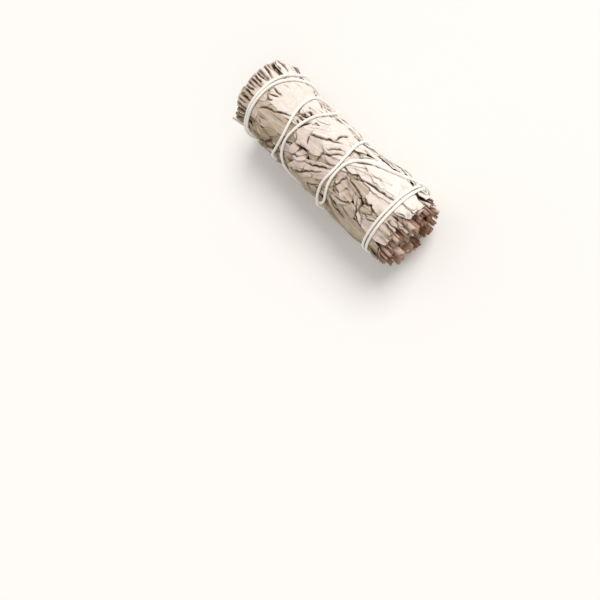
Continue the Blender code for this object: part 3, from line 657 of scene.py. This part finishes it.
# Creases and slits where leaves part or a fold shuts, each a depth and a line of (along, turn)
CREASES = (
    (0.9, (10.6, 14), (14, 13.6), (17.5, 14.5)), (0.9, (10.5, 4), (14, 6), (16.6, 9)),
    (0.8, (10.6, 3), (12.5, -1), (13.8, -3), (15.8, 1)), (0.5, (12.5, 29), (15, 31), (17.5, 31)),
    (1.0, (28, 4), (25.5, 1), (23, -3), (20, -8), (16, -12), (13.5, -17), (11, -24)),
    (0.6, (16, -12), (16, -6), (17.5, -2)), (0.4, (17, -13), (22, -13), (28, -12)),
    (0.7, (13, -29), (16, -28), (19, -25)), (0.6, (15, -34), (16.5, -38)),
    (0.4, (14, -44), (17, -44), (21, -45)), (0.6, (12, -51), (14, -57), (19, -60)),
    (2.8, (25, -45), (22, -58), (19, -72)), (2.8, (12, -58), (17, -65), (24, -70)),
    (2.6, (27, -61), (31, -71)), (2.4, (32, -50), (34, -60), (38, -68)),
    (2.8, (29, -50), (26, -62), (23, -75)), (2.6, (20, -60), (17, -68), (15, -78)),
    (0.5, (15, 46), (20, 47)), (0.7, (21, 75), (22.5, 67)), (0.8, (27, 61), (30, 57), (32, 53)),
    (0.7, (30, 40), (33, 43), (36, 51)), (0.8, (26.3, 30), (27.5, 18), (29, 12), (28, 5)),
    (1.2, (28.5, 14), (31, 14.5), (33, 19), (34, 27)), (1.0, (29, 9), (31, 10.5), (33.5, 10)),
    (1.3, (33, -3), (34.2, 8), (36, 19)), (0.9, (30.5, 3), (32, 3)),
    (1.4, (29.5, 15.5), (31, 19), (32, 16), (33.5, 21)),
    (1.4, (30.5, 23), (32, 27), (33.5, 24), (34, 30)), (1.1, (39.6, 2), (44, 8), (50, 18), (53, 27)),
    (1.2, (50, 20), (50, 34), (51.3, 46)), (0.35, (36, 6), (41, 17), (46, 27)),
    (0.3, (38, 34), (41, 40), (44, 45)), (0.7, (40, 2), (40.6, -4), (42, -10)),
    (1.4, (37.2, -21), (41, -18.5), (44.5, -16)), (0.8, (34, -9), (36, -15), (37, -22)),
    (0.8, (35, -30), (36.3, -38), (38, -40)), (0.7, (36, -39), (41, -33), (44.5, -21)),
    (0.9, (50, 0), (50.2, -10), (50, -20)), (0.9, (50, -4), (53, 0), (55.5, 10), (58, 17)),
    (0.9, (51, 3), (53, 12), (57, 22)), (1.0, (58, -10), (54, -18), (50, -25), (45, -31)),
    (0.9, (46.5, -33), (47, -44), (43, -52), (39, -59)),
    (0.8, (56, -22), (50, -35), (45, -50), (41, -61)),
    (0.9, (57, -43), (51, -55), (53.5, -63), (57, -66)), (0.4, (61, 7), (70, 17), (76, 24), (84, 20)),
    (1.1, (63, 20), (66, 28), (69, 34)), (0.7, (60, 25), (63, 31), (66, 42), (68.5, 53)),
    (0.6, (59, 50), (64, 50)), (0.9, (69, 39), (71.5, 39)), (0.5, (74, 54), (79.5, 56)),
    (1.2, (66, 1), (70, 5), (73, 10), (80, 13), (88, 18)), (0.8, (60.3, 3.5), (64, 3), (66.5, 4)),
    (1.2, (66.6, 0), (67.5, -4), (72, -5), (76, -8), (78.5, -17), (80, -25), (82.5, -30)),
    (1.1, (75, -12), (77, -21), (79, -31), (82, -40), (86.5, -43)),
    (0.9, (77, -10), (78.5, -7), (79.6, -12), (82, -8), (84, -13), (88, -14)),
    (0.8, (82, -23), (85, -25), (88, -20)), (0.8, (66, -3), (64.5, -12), (63.5, -25), (65, -33)),
    (0.9, (65, -34), (70, -31), (75, -25)), (0.6, (71, -13), (68, -17), (67, -27)),
    (2.2, (63.5, -45), (70, -50), (75, -53)), (0.7, (71, -35), (74, -41), (77.5, -42)),
    (0.8, (80, -71), (86.5, -69)), (0.8, (91, 8), (94, 12), (96.5, 13)),
    (1.5, (90.6, 2), (93, 2.5), (97.5, 3)), (0.8, (92.5, -3), (91.6, -8), (97, -7)),
    (0.8, (91, -13), (97, -13)), (0.8, (91, -43), (95, -42), (99, -40)),
    (1.0, (95.5, -43), (96, -54), (97.5, -61)), (1.6, (0, 55), (8, 53)), (1.2, (0, 47), (7, 46)),
    (1.9, (0, 38), (8.5, 40)), (1.3, (0, 34), (4, 35)), (2.2, (0, 29), (8.5, 24)),
    (1.8, (0, 21), (7, 18)), (1.6, (0, 15), (6, 16)), (1.5, (0, 9), (6.5, 7)), (1.6, (0, 2), (7, 3)),
    (1.3, (0, -4), (5, -3)), (1.5, (0, -11), (5, -8)), (2.0, (0, -17), (6.5, -14)),
    (2.6, (0, -25), (7.8, -24)), (1.4, (0, -32), (4.5, -32)), (2.4, (0, -40), (7.5, -42)),
    (1.8, (0, -50), (8, -52)),
)
CREASE_WIDTH = 0.3
# A crease this deep is painted fully dark with shade, over a little more than its width
DARK_DEPTH = 0.8
DARKEST = 1.15
SHADE_SPREAD = 1.25
# On the other sides creases follow a rule: (count, least and most along, least and most length, depth)
FREE_CREASES = ((46, 10, 88, 6, 20, 0.9), (26, 0, 1, 6, 9.5, 1.9), (22, 91, 92, 6, 7, 1.0))
FREE_FIRST_TURN = 66.0
FREE_SPAN = 226.0


def free_creases(draw):
    """The creases on the sides that SHOWN_LEAVES leaves free, mostly lengthwise."""
    made = []
    for count, first, last, short, long, deep in FREE_CREASES:
        for number in range(count):
            along, size = draw.uniform(first, last), draw.uniform(short, long)
            turn = FREE_FIRST_TURN + (number + draw.random()) * FREE_SPAN / count
            slant, bow = draw.gauss(0, 5), draw.gauss(0, 3)
            shares = (0, 0.33, 0.67, 1)
            points = [(along + size * s, turn + slant * s + bow * s * (1 - s) * 4) for s in shares]
            made.append((deep * draw.uniform(0.5, 1.2), *points))
    return made


def crease_line(points, draw):
    """Closely spaced places along a crease, a little crooked, and how open it is at each."""
    corners = np.array(points, float)
    steps = np.hypot(np.diff(corners[:, 0]), np.radians(np.diff(corners[:, 1])) * LEAF_RADIUS)
    run = np.concatenate([[0], np.cumsum(steps)])
    spots = np.arange(0, run[-1], CELL)
    crooked = max(int(run[-1] / 1.1), 2)
    bends = np.linspace(0, run[-1], crooked)
    sway = [np.interp(spots, bends, [draw.gauss(0, 1) for _ in range(crooked)]) for _ in range(2)]
    along = np.interp(spots, run, corners[:, 0]) + 0.14 * sway[0]
    turn = np.interp(spots, run, corners[:, 1]) + 0.55 * sway[1]
    share = spots / run[-1]
    at_rim = corners[0, 0] < 1.5
    open_share = np.sqrt(np.sin(math.pi * np.where(at_rim, 0.5 + share / 2, share * 0.98 + 0.01)))
    return along, turn, open_share * (1 + 0.25 * sway[1].clip(-1, 1))


# crease holds how deep each crease is carved, crease_shade how much shade is painted into it
crease, crease_shade = np.zeros((MAP_ROWS, MAP_COLUMNS)), np.zeros((MAP_ROWS, MAP_COLUMNS))
draw = random.Random(53)
for deep, *points in (*CREASES, *free_creases(draw)):
    line_along, line_turn, open_share = crease_line(points, draw)
    width = CREASE_WIDTH * (0.75 + 0.4 * deep)
    shade = min(deep / DARK_DEPTH, DARKEST)
    for field, most, spread in ((crease, deep, 1), (crease_shade, shade, SHADE_SPREAD)):
        spread_from_line(
            field, line_along, line_turn, 3 * width,
            lambda off, number: most * open_share[number] * np.exp(-(off / width / spread) ** 2),
            np.maximum,
        )
carved = (1 - crease / (top - heart).clip(1, None)).clip(0.05, 1)
squeeze = squeeze * carved
top = heart + (top - heart) * carved

# How much higher the leaves reach close by, for painted shade: large beside a leaf's edge and in a crease
PAINTED_SHADE_REACH = 0.5
PAINTED_SHADE_START = 0.2
PAINTED_SHADE_DEPTH = 1.0
nearby_top = top
reach_cells = int(PAINTED_SHADE_REACH / CELL)
for axis in (0, 1):
    shifts = range(-reach_cells, reach_cells + 1)
    nearby_top = np.max([np.roll(nearby_top, shift, axis) for shift in shifts], axis=0)
nearby_top = blurred(nearby_top, 0.2)
crease_shade = crease_shade.clip(0, 1)


def squeezed(along, turn, radii):
    """The radii after the string, the floor and the creases press what reaches past them."""
    inner = HEART_RADIUS * waist(along, turn)
    return inner + (radii - inner) * map_value(squeeze, along, turn)


def painted_shade_of(along, turn, radii):
    """How much shade is painted on a place, from 0 in the open to 1 in a crease or well under a leaf."""
    depth = map_value(nearby_top, along, turn) - radii
    under = 0.55 * ((depth - PAINTED_SHADE_START) / PAINTED_SHADE_DEPTH).clip(0, 1) + 0.45 * (depth - 1.4).clip(0, 1)
    return np.maximum(under, map_value(crease_shade, along, turn))


# Dried white sage: dull, felted and chalky, paler on the ridges, with a fine net of veins, and tan to
# olive brown where the felt has worn off, with painted shade where a leaf is tucked under another
felt, tree, shader = new_material("dried white sage leaf, pressed", 0.88, sheen=0.2)
places = add_node(tree, "TexCoord").outputs["Object"]
tone = attribute(tree, "tone")
tuck = attribute(tree, "tuck")
across = attribute(tree, "across")
forward = attribute(tree, "forward")
patch = noise(tree, places, 260.0, 4.0, 0.6)
fleck = noise(tree, places, 1500.0, 5.0, 0.65)
varied = maths(tree, "MULTIPLY_ADD", patch, 0.5, tone)
shifted = maths(tree, "SUBTRACT", varied, 0.25, use_clamp=True)
colour = colour_ramp(tree, shifted, (
    (0.0, "#F6EFE9"), (0.2, "#EDE2D9"), (0.38, "#DECCC1"), (0.55, "#C9B7A4"), (0.75, "#AD9C80"),
    (1.0, "#85704F"),
))
fleck_share = remap(tree, fleck, 0.55, 0.75, 0.0, 0.4)
colour = blend_colours(tree, fleck_share, colour, linear("#A8947A"))
# Side veins leave the midrib every 2.4 mm and slant towards the tip
off_midrib = maths(tree, "ABSOLUTE", across)
slant = maths(tree, "MULTIPLY_ADD", off_midrib, -0.9, forward)
wobble = maths(tree, "MULTIPLY_ADD", patch, 1.6, slant)
phase = maths(tree, "MULTIPLY", wobble, math.pi / 2.4)
wave = maths(tree, "SINE", phase)
crest = maths(tree, "ABSOLUTE", wave)
vein = remap(tree, crest, 0.0, 0.16, 1.0, 0.0)
rib = remap(tree, off_midrib, 0.12, 0.42, 1.0, 0.0)
veins = maths(tree, "MAXIMUM", vein, rib)
vein_share = maths(tree, "MULTIPLY", veins, 0.22)
colour = blend_colours(tree, vein_share, colour, linear("#F3ECDF"))
# Painted shade: a leaf tucked away is painted a shaded brown, and painted dark in the depth of a crease
painted_shade_brown = remap(tree, tuck, 0.05, 0.6, 0.0, 0.75)
colour = blend_colours(tree, painted_shade_brown, colour, linear("#937556"))
painted_shade_dark = remap(tree, tuck, 0.35, 1.0, 0.0, 1.0)
colour = blend_colours(tree, painted_shade_dark, colour, linear("#332014"))
rough = remap(tree, fleck, 0.3, 0.7, 0.78, 0.97)
# The net of small veins stands out as pebbling about 0.8 mm across
net = add_node(tree, "TexVoronoi", {"Vector": places, "Scale": 1200.0}, feature="DISTANCE_TO_EDGE")
net_height = remap(tree, net.outputs[0], 0.0, 0.25, 0.0, 0.5)
height = maths(tree, "MULTIPLY_ADD", veins, 0.6, net_height)
height = maths(tree, "MULTIPLY_ADD", fleck, 1.0, height)
height = maths(tree, "MULTIPLY_ADD", patch, 1.5, height)
finish_look(tree, shader, colour, height, 0.7, 0.00018, rough)

LEAF_MARKS = ("tone", "tuck", "across", "forward")
SHEET_LOWEST = FLOOR_GAP + LEAF_THICKNESS


def lay_sheet(bm, points, lowest=0.0, **marks):
    """Adds a grid through those rows of points, none lower than lowest, with each mark's value on them."""
    points = np.stack([points[..., 0], points[..., 1], points[..., 2].clip(lowest * MM, None)], axis=-1)
    rows, columns = points.shape[:2]
    before = len(bm.verts)
    bmesh.ops.create_grid(bm, x_segments=columns - 1, y_segments=rows - 1, size=1)
    bm.verts.ensure_lookup_table()
    added = bm.verts[before:]
    for vert, point in zip(added, points.reshape(-1, 3)):
        vert.co = point
    for mark, values in marks.items():
        layer = bm.verts.layers.float[mark]
        for vert, value in zip(added, np.broadcast_to(values, (rows, columns)).ravel()):
            vert[layer] = value


def thin_sheet(name, bm, material, replaced, thickness=LEAF_THICKNESS, flip=False):
    """Finishes open sheets as one piece with a leaf's thickness."""
    bmesh.ops.dissolve_degenerate(bm, dist=0.002 * MM, edges=bm.edges)
    if flip:
        bmesh.ops.reverse_faces(bm, faces=bm.faces)
    piece = finish_piece(name, bm, material, replaced)
    wall = piece.modifiers.new("Leaf thickness", "SOLIDIFY")
    wall.thickness = thickness * MM
    wall.offset = -1
    return piece


# The leaves are kept as layers, each in stretches of the roll so that no piece grows too large
STRETCH_ENDS = {"tip": 34.0, "middle": 68.0, "butt": 2 * LENGTH}
# Painted light: leaves near this turn, on the +Y side that the window lights, are painted the
# palest, within this spread of degrees and with this share of their tone
PAINTED_LIGHT_TURN = 80.0
PAINTED_LIGHT_SPREAD = 28.0
PAINTED_LIGHT_TONE = 0.25
groups = {}
covered = sum(count for _, count, _ in UNDER_ROWS + FILL_ROWS)
shown_from = len(laid) - len(SHOWN_LEAVES) - len(SHOWN_SCRAPS)
for number, (along, turn, radii, across_mm, forward_mm, tone_value) in enumerate(laid):
    if abs(turn.mean() - PAINTED_LIGHT_TURN) < PAINTED_LIGHT_SPREAD:
        tone_value *= PAINTED_LIGHT_TONE
    layer = "under" if number < covered else "outer" if number < shown_from else "shown"
    stretch = next(name for name, end in STRETCH_ENDS.items() if along.mean() < end)
    name = f"leaves_{layer}_{stretch}"
    if name not in groups:
        groups[name] = marked_mesh(*LEAF_MARKS)
    radii = squeezed(along, turn, radii)
    # Each leaf's points carry their painted shade: darker under other leaves and in creases
    lay_sheet(
        groups[name], on_roll(along, turn, radii), lowest=SHEET_LOWEST,
        tone=tone_value, tuck=painted_shade_of(along, turn, radii), across=across_mm, forward=forward_mm,
    )
for name, bm in groups.items():
    thin_sheet(name, bm, felt, ["leaf_bunch"], flip=True)

# The string
# One length of soft white cotton, three strands twisted together, wound about eight times round the
# roll and over itself, and tied where it starts, on the side near the floor.

STRANDS = 3
STRAND_DEPTH = 0.16
TWIST_LENGTH = 4.6
STRING_SIDES = 12

# Unbleached cotton: soft, matt and warm white, with painted shade in the grooves between the strands
cotton, tree, shader = new_material("twisted cotton, unbleached", 0.9, sheen=0.3)
places = add_node(tree, "TexCoord").outputs["Object"]
groove = attribute(tree, "groove")
lint = noise(tree, places, 2600.0, 4.0, 0.6)
soil = noise(tree, places, 120.0, 2.0)
colour = blend_colours(tree, soil, linear("#FFFEFA"), linear("#FCF8EF"))
colour = blend_colours(tree, groove, colour, linear("#D8CCB8"))
rough = remap(tree, lint, 0.3, 0.7, 0.8, 0.98)
finish_look(tree, shader, colour, lint, 0.5, 0.0001, rough)


def frames(spine):
    """Two directions square to a line at each of its points, turning as little as they can."""
    ahead = np.gradient(spine, axis=0)
    ahead /= np.linalg.norm(ahead, axis=1, keepdims=True)
    start = np.cross(ahead[0], (0.31, 0.52, 0.8))
    first = [start / np.linalg.norm(start)]
    for step in ahead[1:]:
        carried = first[-1] - step * np.dot(first[-1], step)
        first.append(carried / np.linalg.norm(carried))
    first = np.array(first)
    return first, np.cross(ahead, first)


def twisted_string(bm, spine, thickness):
    """Adds a string of twisted strands along a line of points, with rounded ends."""
    first, second = frames(spine)
    run = np.concatenate([[0], np.cumsum(np.linalg.norm(np.diff(spine, axis=0), axis=1))]) / MM
    angle = np.linspace(0, 2 * math.pi, STRING_SIDES + 1)[None, :]
    lobe = np.abs(np.cos(STRANDS / 2 * (angle - 2 * math.pi * run[:, None] / TWIST_LENGTH)))
    end = np.minimum(run, run[-1] - run)[:, None]
    taper = np.sqrt((1 - (1 - (end / (thickness / 2)).clip(0, 1)) ** 2).clip(0, 1))
    radius = thickness / 2 * (1 - STRAND_DEPTH + STRAND_DEPTH * lobe) * taper * MM
    offset = first[:, None] * np.cos(angle)[..., None] + second[:, None] * np.sin(angle)[..., None]
    # The grooves between the strands carry painted shade
    lay_sheet(bm, spine[:, None] + offset * radius[..., None], groove=(1 - lobe) ** 2 * 0.45)


bm = marked_mesh("groove")
twisted_string(bm, on_roll(string_along, string_turn, string_radius), STRING_DIAMETER)
# The knot: a tight overhand knot, wider along the string than it is high, and its two short tails
KNOT_SIZE = 0.62
knot_along = (string_along[0] + string_along[-1]) / 2
knot_radius = max(string_radius[0], string_radius[-1]) + 0.35
t = np.linspace(0, 2 * math.pi, 60)
knot = on_roll(
    knot_along + KNOT_SIZE * (np.sin(t) + 2 * np.sin(2 * t)),
    KNOT_TURN + np.degrees(KNOT_SIZE * (np.cos(t) - 2 * np.cos(2 * t)) / LEAF_RADIUS),
    knot_radius - 0.9 * KNOT_SIZE * np.sin(3 * t),
)
twisted_string(bm, knot, STRING_DIAMETER)
for along_off, turn_off, out in ((1.5, 6.0, 2.4), (-6.0, -13.0, 0.3)):
    s = np.linspace(0, 1, 18)
    tail = on_roll(
        knot_along + along_off * s,
        KNOT_TURN + turn_off * s,
        knot_radius + out * s**2 + 0.5 * np.sin(3 * s),
    )
    twisted_string(bm, tail, STRING_DIAMETER * 0.9)
closed_piece("string_twine", bm, cotton, ["string"])

# The stems
# Cut sage stems, woody and round with a ridged pinkish-brown bark and a pale pith, cut off roughly
# level at the butt end and held in the middle of the roll by the string.

STEM_RINGS = ((0.0, 1), (5.6, 6), (11.2, 12))
STEM_INNER_END = 16.0
LONGEST_STEM = 4
# Towards the tip end the stems thin, drift round the axis by these degrees and draw together
STEM_PLACES = (STEM_INNER_END, 62.0, LENGTH)
STEM_DRIFT = (9.0, 3.0, 0.0)
STEM_SPREAD = (0.82, 0.94, 1.0)
# The share of its thickness that a stem loses over this length
STEM_THINNING = 0.5
THINNING_LENGTH = 88.0
# The wrapping leaves leave this much room round the axis at these places, more towards the butt
ROOM_PLACES = (92.0, 98.5)
ROOM = (14.9, 17.6)
STEM_SIDES = 24
STEM_MARKS = ("cut", "ring", "tan")
BARK_RIDGES = 9

# Dried bark: faintly glossy and pinkish brown, streaked along the stem, each stem in its own shade
bark, tree, shader = new_material("dried sage bark", 0.75)
places = add_node(tree, "TexCoord").outputs["Object"]
cut = attribute(tree, "cut")
ring = attribute(tree, "ring")
tan = attribute(tree, "tan")
stretch = add_node(tree, "Mapping", {"Vector": places, "Scale": (0.12, 1.0, 1.0)}).outputs[0]
grain = noise(tree, stretch, 2200.0, 5.0, 0.65)
blotch = noise(tree, places, 300.0, 3.0)
colour = colour_ramp(tree, tan, (
    (0.0, "#5A3A2E"), (0.3, "#946A58"), (0.6, "#C49C88"), (0.85, "#E2C8B9"), (1.0, "#F0E2D6"),
))
streaks = remap(tree, grain, 0.35, 0.55, 0.7, 0.0)
colour = blend_colours(tree, streaks, colour, linear("#3E261D"))
blotch_share = remap(tree, blotch, 0.5, 0.68, 0.0, 0.6)
colour = blend_colours(tree, blotch_share, colour, linear("#CDB0A0"))
# The cut face: tan wood with darker rays, round a pale pith
lit_wood = blend_colours(tree, tan, linear("#A87A5C"), linear("#E8CDAE"))
wood = blend_colours(tree, grain, linear("#54362A"), lit_wood)
pith_share = remap(tree, ring, 0.25, 0.4, 1.0, 0.0)
wood = blend_colours(tree, pith_share, wood, linear("#E2C8A6"))
colour = blend_colours(tree, cut, colour, wood)
finish_look(tree, shader, colour, grain, 0.6, 0.00025)


def section_place(distance, turn):
    """(across, height) in millimetres of a place in the roll's cross-section."""
    return distance * math.sin(math.radians(turn)), distance * math.cos(math.radians(turn))


def stem_places():
    """(distance from the axis, turn, radius, where the cut end is) of every stem."""
    draw = random.Random(5)
    places = []
    for distance, count in STEM_RINGS:
        for place in range(count):
            turn = (place + draw.uniform(-0.16, 0.16)) * 360 / count + distance * 4
            off = distance + draw.uniform(-0.4, 0.4) * (distance > 0)
            thick = draw.uniform(1.5, 2.25)
            cut = LENGTH - draw.uniform(0.0, 5.5)
            places.append((off, turn, thick, cut))
    places[LONGEST_STEM] = (*places[LONGEST_STEM][:3], LENGTH)
    return places


def wrapped_limit(along):
    """How far from the axis a stem or stalk may reach inside the wrapping leaves."""
    return np.interp(along, ROOM_PLACES, ROOM)


def add_twig(bm, distance, turn, thick, cut, inner, draw):
    """Adds a stem: a ridged round bar that thins inwards, with a slanted cut end."""
    thin = thick * (1 - STEM_THINNING * (cut - inner) / THINNING_LENGTH)
    steps = np.concatenate([np.linspace(inner, cut - 8, 8)[:-1], np.linspace(cut - 8, cut, 17)])
    share = (steps - inner) / (cut - inner)
    # Rings past the end close it: a worn edge, the wood and the pith
    faces = np.array([(0.93, 0.12), (0.7, 0.1), (0.42, 0.06), (0.2, 0.02), (0.0, 0.0)])
    along = np.concatenate([np.full(2, inner), steps, cut + faces[:, 1]])[:, None]
    size = np.concatenate([[0.0, 0.6 * thin], thin + (thick - thin) * share, thick * faces[:, 0]])[:, None]
    angle = np.linspace(0, 2 * math.pi, STEM_SIDES + 1)[None, :]
    ridge = np.cos(BARK_RIDGES * angle + 0.06 * along + draw.uniform(0, 6)) * 0.035
    ridge = ridge + np.cos(4 * angle + 0.2 * along + draw.uniform(0, 6)) * 0.03
    ridge = ridge + np.cos(2 * angle + draw.uniform(0, 6)) * 0.06
    radius = size * (1 + ridge)
    near_cut = np.clip((along - cut + 3) / 3, 0, 1)
    lean = draw.uniform(0, 6)
    splinters = [draw.uniform(-0.3, 0.3) for _ in range(STEM_SIDES)]
    splinters = np.array([*splinters, splinters[0]])[None, :] * size / thick
    place = along + near_cut * (draw.uniform(0.0, 0.6) * radius * np.cos(angle - lean) + splinters)
    drift = np.interp(along, STEM_PLACES, STEM_DRIFT)
    inward = distance * np.interp(along, STEM_PLACES, STEM_SPREAD)
    centre = on_roll(place, turn + drift, np.minimum(inward, wrapped_limit(along) - thick))
    points = centre + np.stack([0 * radius, radius * np.cos(angle), radius * np.sin(angle)], axis=-1) * MM
    hue = draw.choice((0.05, 0.25, 0.4, 0.55, 0.7, 0.9)) + draw.uniform(-0.08, 0.1)
    pith = draw.choice((0.7, 1.0, 1.4, 2.2, 4.0))
    lay_sheet(bm, points, cut=along >= cut, ring=size / thick * pith, tan=hue)


draw = random.Random(41)
for number, (distance, turn, thick, cut_at) in enumerate(stem_places(), start=1):
    bm = marked_mesh(*STEM_MARKS)
    add_twig(bm, distance, turn, thick, cut_at, STEM_INNER_END, draw)
    closed_piece(f"stem_cut_{number:02d}", bm, bark, [f"stem_{number:02d}"])

# Leaf stalks and rolled leaves at the butt end
# Between the stems stand thinner leaf stalks, and leaves that dried rolled up as tubes. They are cut
# off at uneven lengths, and the string presses them together.

BUTT_RADIUS = 17.6
STALK_SIZES = ((1.7, 90), (1.35, 160), (1.05, 260), (0.8, 420), (0.6, 500), (0.4, 700))
ROLL_SHARE = 0.45
# Rolls and stalks start at these places inside the roll
ROLL_INNER_END = 84.0
STALK_INNER_END = 80.0
taken = [(*section_place(off, turn), thick) for off, turn, thick, _ in stem_places()]
draw = random.Random(29)
rolls, stalks = marked_mesh(*LEAF_MARKS), marked_mesh(*STEM_MARKS)
for size, tries in STALK_SIZES:
    for _ in range(tries):
        thick = size * draw.uniform(0.9, 1.1)
        distance = (BUTT_RADIUS - thick) * math.sqrt(draw.random())
        turn = draw.uniform(0, 360)
        spot = section_place(distance, turn)
        if any(math.dist(spot, other[:2]) < thick + other[2] - 0.1 for other in taken):
            continue
        taken.append((*spot, thick))
        outer_share = distance / BUTT_RADIUS
        cut_at = draw.uniform(95.5, 103.0) - 1.5 * outer_share**4
        if size > 0.7 and draw.random() < ROLL_SHARE:
            turns = draw.uniform(1.0, 1.7)
            share = np.linspace(0, 1, 20)[None, :]
            steps = np.linspace(0, 1, 14)[:, None]
            angle = 2 * math.pi * turns * share + draw.uniform(0, 6)
            radius = thick * (0.95 - 0.45 * share * (turns - 0.7)) * (1 + 0.05 * np.sin(7 * angle))
            radius = radius * (1 + 0.06 * np.sin(5 * steps + draw.uniform(0, 6)))
            rag = ragged(draw, share, 0.14, 0.5)
            along = ROLL_INNER_END + (cut_at - ROLL_INNER_END) * steps + rag * steps**6
            centre = on_roll(along, turn, np.minimum(distance, wrapped_limit(along) - thick))
            curve = np.stack([0 * radius, radius * np.cos(angle), radius * np.sin(angle)], axis=-1)
            # Painted shade: darker further into the roll and towards the tube's inner turns
            inside = (1 - steps) * 0.5 + 0.25 * share
            # The rolls are painted paler towards the +Y side, where the window lights them: painted light
            lay_sheet(
                rolls, centre + curve * MM,
                tone=0.3 + 0.5 * draw.random() - 0.012 * spot[0], tuck=inside.clip(0, 1),
                across=5.0 + share, forward=along, lowest=SHEET_LOWEST,
            )
        else:
            add_twig(stalks, distance, turn, thick * 0.95, cut_at, STALK_INNER_END, draw)
thin_sheet("rolled_leaves_butt", rolls, felt, ["leaf_bunch"], thickness=0.2)
closed_piece("leaf_stalks_butt", stalks, bark, ["leaf_bunch"])

# Folded leaf ends at the tip end
# The leaves inside the roll are folded lengthwise, and the knife left their ends standing on edge
# side by side, closely packed, with dark gaps between.

# How far in the folded ends reach, and how far from the axis, at these places: not through the
# leaves outside them, which the string draws in near u = 9
TIP_INNER_END = 13.0
TIP_ROOM_PLACES = (0.0, 5.0, 9.0)
TIP_ROOM = (16.2, 15.6, 14.9)
TIP_EASING = 1.2
TIP_RINGS = ((14.8, 30), (12.8, 26), (10.8, 21), (8.8, 17), (6.8, 13), (4.8, 9), (2.8, 6), (0.9, 3))
draw = random.Random(31)
ends = marked_mesh(*LEAF_MARKS)
for distance, count in TIP_RINGS:
    for place in range(count):
        turn = (place + draw.uniform(-0.35, 0.35)) * 360 / count + distance * 7
        wide = min(2 * math.pi * distance / count * 1.8, 7.5) * draw.uniform(0.8, 1.2)
        bend = math.radians(draw.uniform(60, 210)) * draw.choice((-1, 1))
        lean = math.radians(turn + draw.uniform(-55, 55))
        share = np.linspace(-0.5, 0.5, 13)[None, :]
        steps = np.linspace(0, 1, 15)[:, None]
        fold = abs(bend) * share
        sway = wide / abs(bend)
        flat = sway * np.sin(fold)
        rise = math.copysign(1, bend) * sway * (np.cos(fold) - 1) + 0.12 * np.sin(9 * share + 4 * steps)
        out_at = draw.uniform(0.2, 4.2)
        rag = ragged(draw, share + 0.5, 0.16, 0.5)
        along = (TIP_INNER_END + (out_at - TIP_INNER_END) * steps + rag * steps**6).clip(0, None)
        off = distance + draw.uniform(-0.6, 0.5) + draw.uniform(-0.7, 0.7) * steps**2
        across_off, height_off = section_place(off, turn)
        across_mm = across_off + flat * math.cos(lean) + rise * math.sin(lean)
        height_mm = height_off - flat * math.sin(lean) + rise * math.cos(lean)
        reach = np.hypot(across_mm, height_mm)
        free = np.interp(along, TIP_ROOM_PLACES, TIP_ROOM) - TIP_EASING
        reach = np.where(reach > free, free + TIP_EASING * np.tanh((reach - free) / TIP_EASING), reach)
        around_axis = np.degrees(np.arctan2(across_mm, height_mm))
        # Painted shade: the ends darken the further in from the tip face they lie, down among the gaps
        depth_in = ((along - 1.5) / 5).clip(0, 1)
        lay_sheet(
            ends, on_roll(along, around_axis, reach),
            tone=min(tone_of(draw) + 0.15, 0.95), tuck=depth_in * 0.9, across=flat, forward=along,
            lowest=SHEET_LOWEST,
        )
# One loose strip stands out past the string
steps, share = np.linspace(0, 1, 24)[:, None], np.linspace(-1, 1, 9)[None, :]
strip_turn = -72 + 5 * steps + 3.6 * share * np.sqrt(1 - (0.94 * steps) ** 2)
strip_out = 17.8 + 2.2 * steps**1.5 + 0.25 * share**2
strip_along = 9.5 - 9.9 * steps
strip = on_roll(strip_along, strip_turn, strip_out)
lay_sheet(ends, strip, tone=0.5, tuck=0.0, across=share, forward=steps * 10)
thin_sheet("leaf_ends_tip", ends, felt, ["leaf_bunch"])

# Stage
# A white tabletop under soft window light from the +Y side, seen from above and a little from the
# stem end.

bm = bmesh.new()
bmesh.ops.create_grid(bm, x_segments=1, y_segments=1, size=1.5)
# Painted board: smooth and nearly white, so that only the soft shadow shows on it
board, tree, shader = new_material("white painted board", 0.6)
shader.inputs["Base Color"].default_value = linear("#F3F1EE")
mesh_object("floor", bm, board)

sun = bpy.data.lights.new("window", "SUN")
sun.angle = math.radians(34)
sun.energy = 2.0
sun.color = linear("#FFFDFA")[:3]
window = add_object("window", sun)
window.rotation_euler = Vector((-0.1, 0.62, 0.8)).to_track_quat("Z", "Y").to_euler()
world = bpy.data.worlds.new("room")
world.use_nodes = True
sky = world.node_tree.nodes["Background"]
sky.inputs["Color"].default_value = linear("#FFFDFB")
sky.inputs["Strength"].default_value = 0.63
bpy.context.scene.world = world
bpy.context.scene.view_settings.view_transform = "Standard"

camera_data = bpy.data.cameras.new("camera")
camera_data.angle = math.radians(58)
camera = add_object("camera", camera_data)
right, up, back = (0.6559, 0.6814, -0.3248), (-0.7165, 0.6974, 0.0163), (0.2376, 0.2220, 0.9456)
turned = Matrix((right, up, back)).transposed().to_4x4()
camera.matrix_world = Matrix.Translation((0.0922, 0.0, 0.2579)) @ turned
bpy.context.scene.camera = camera
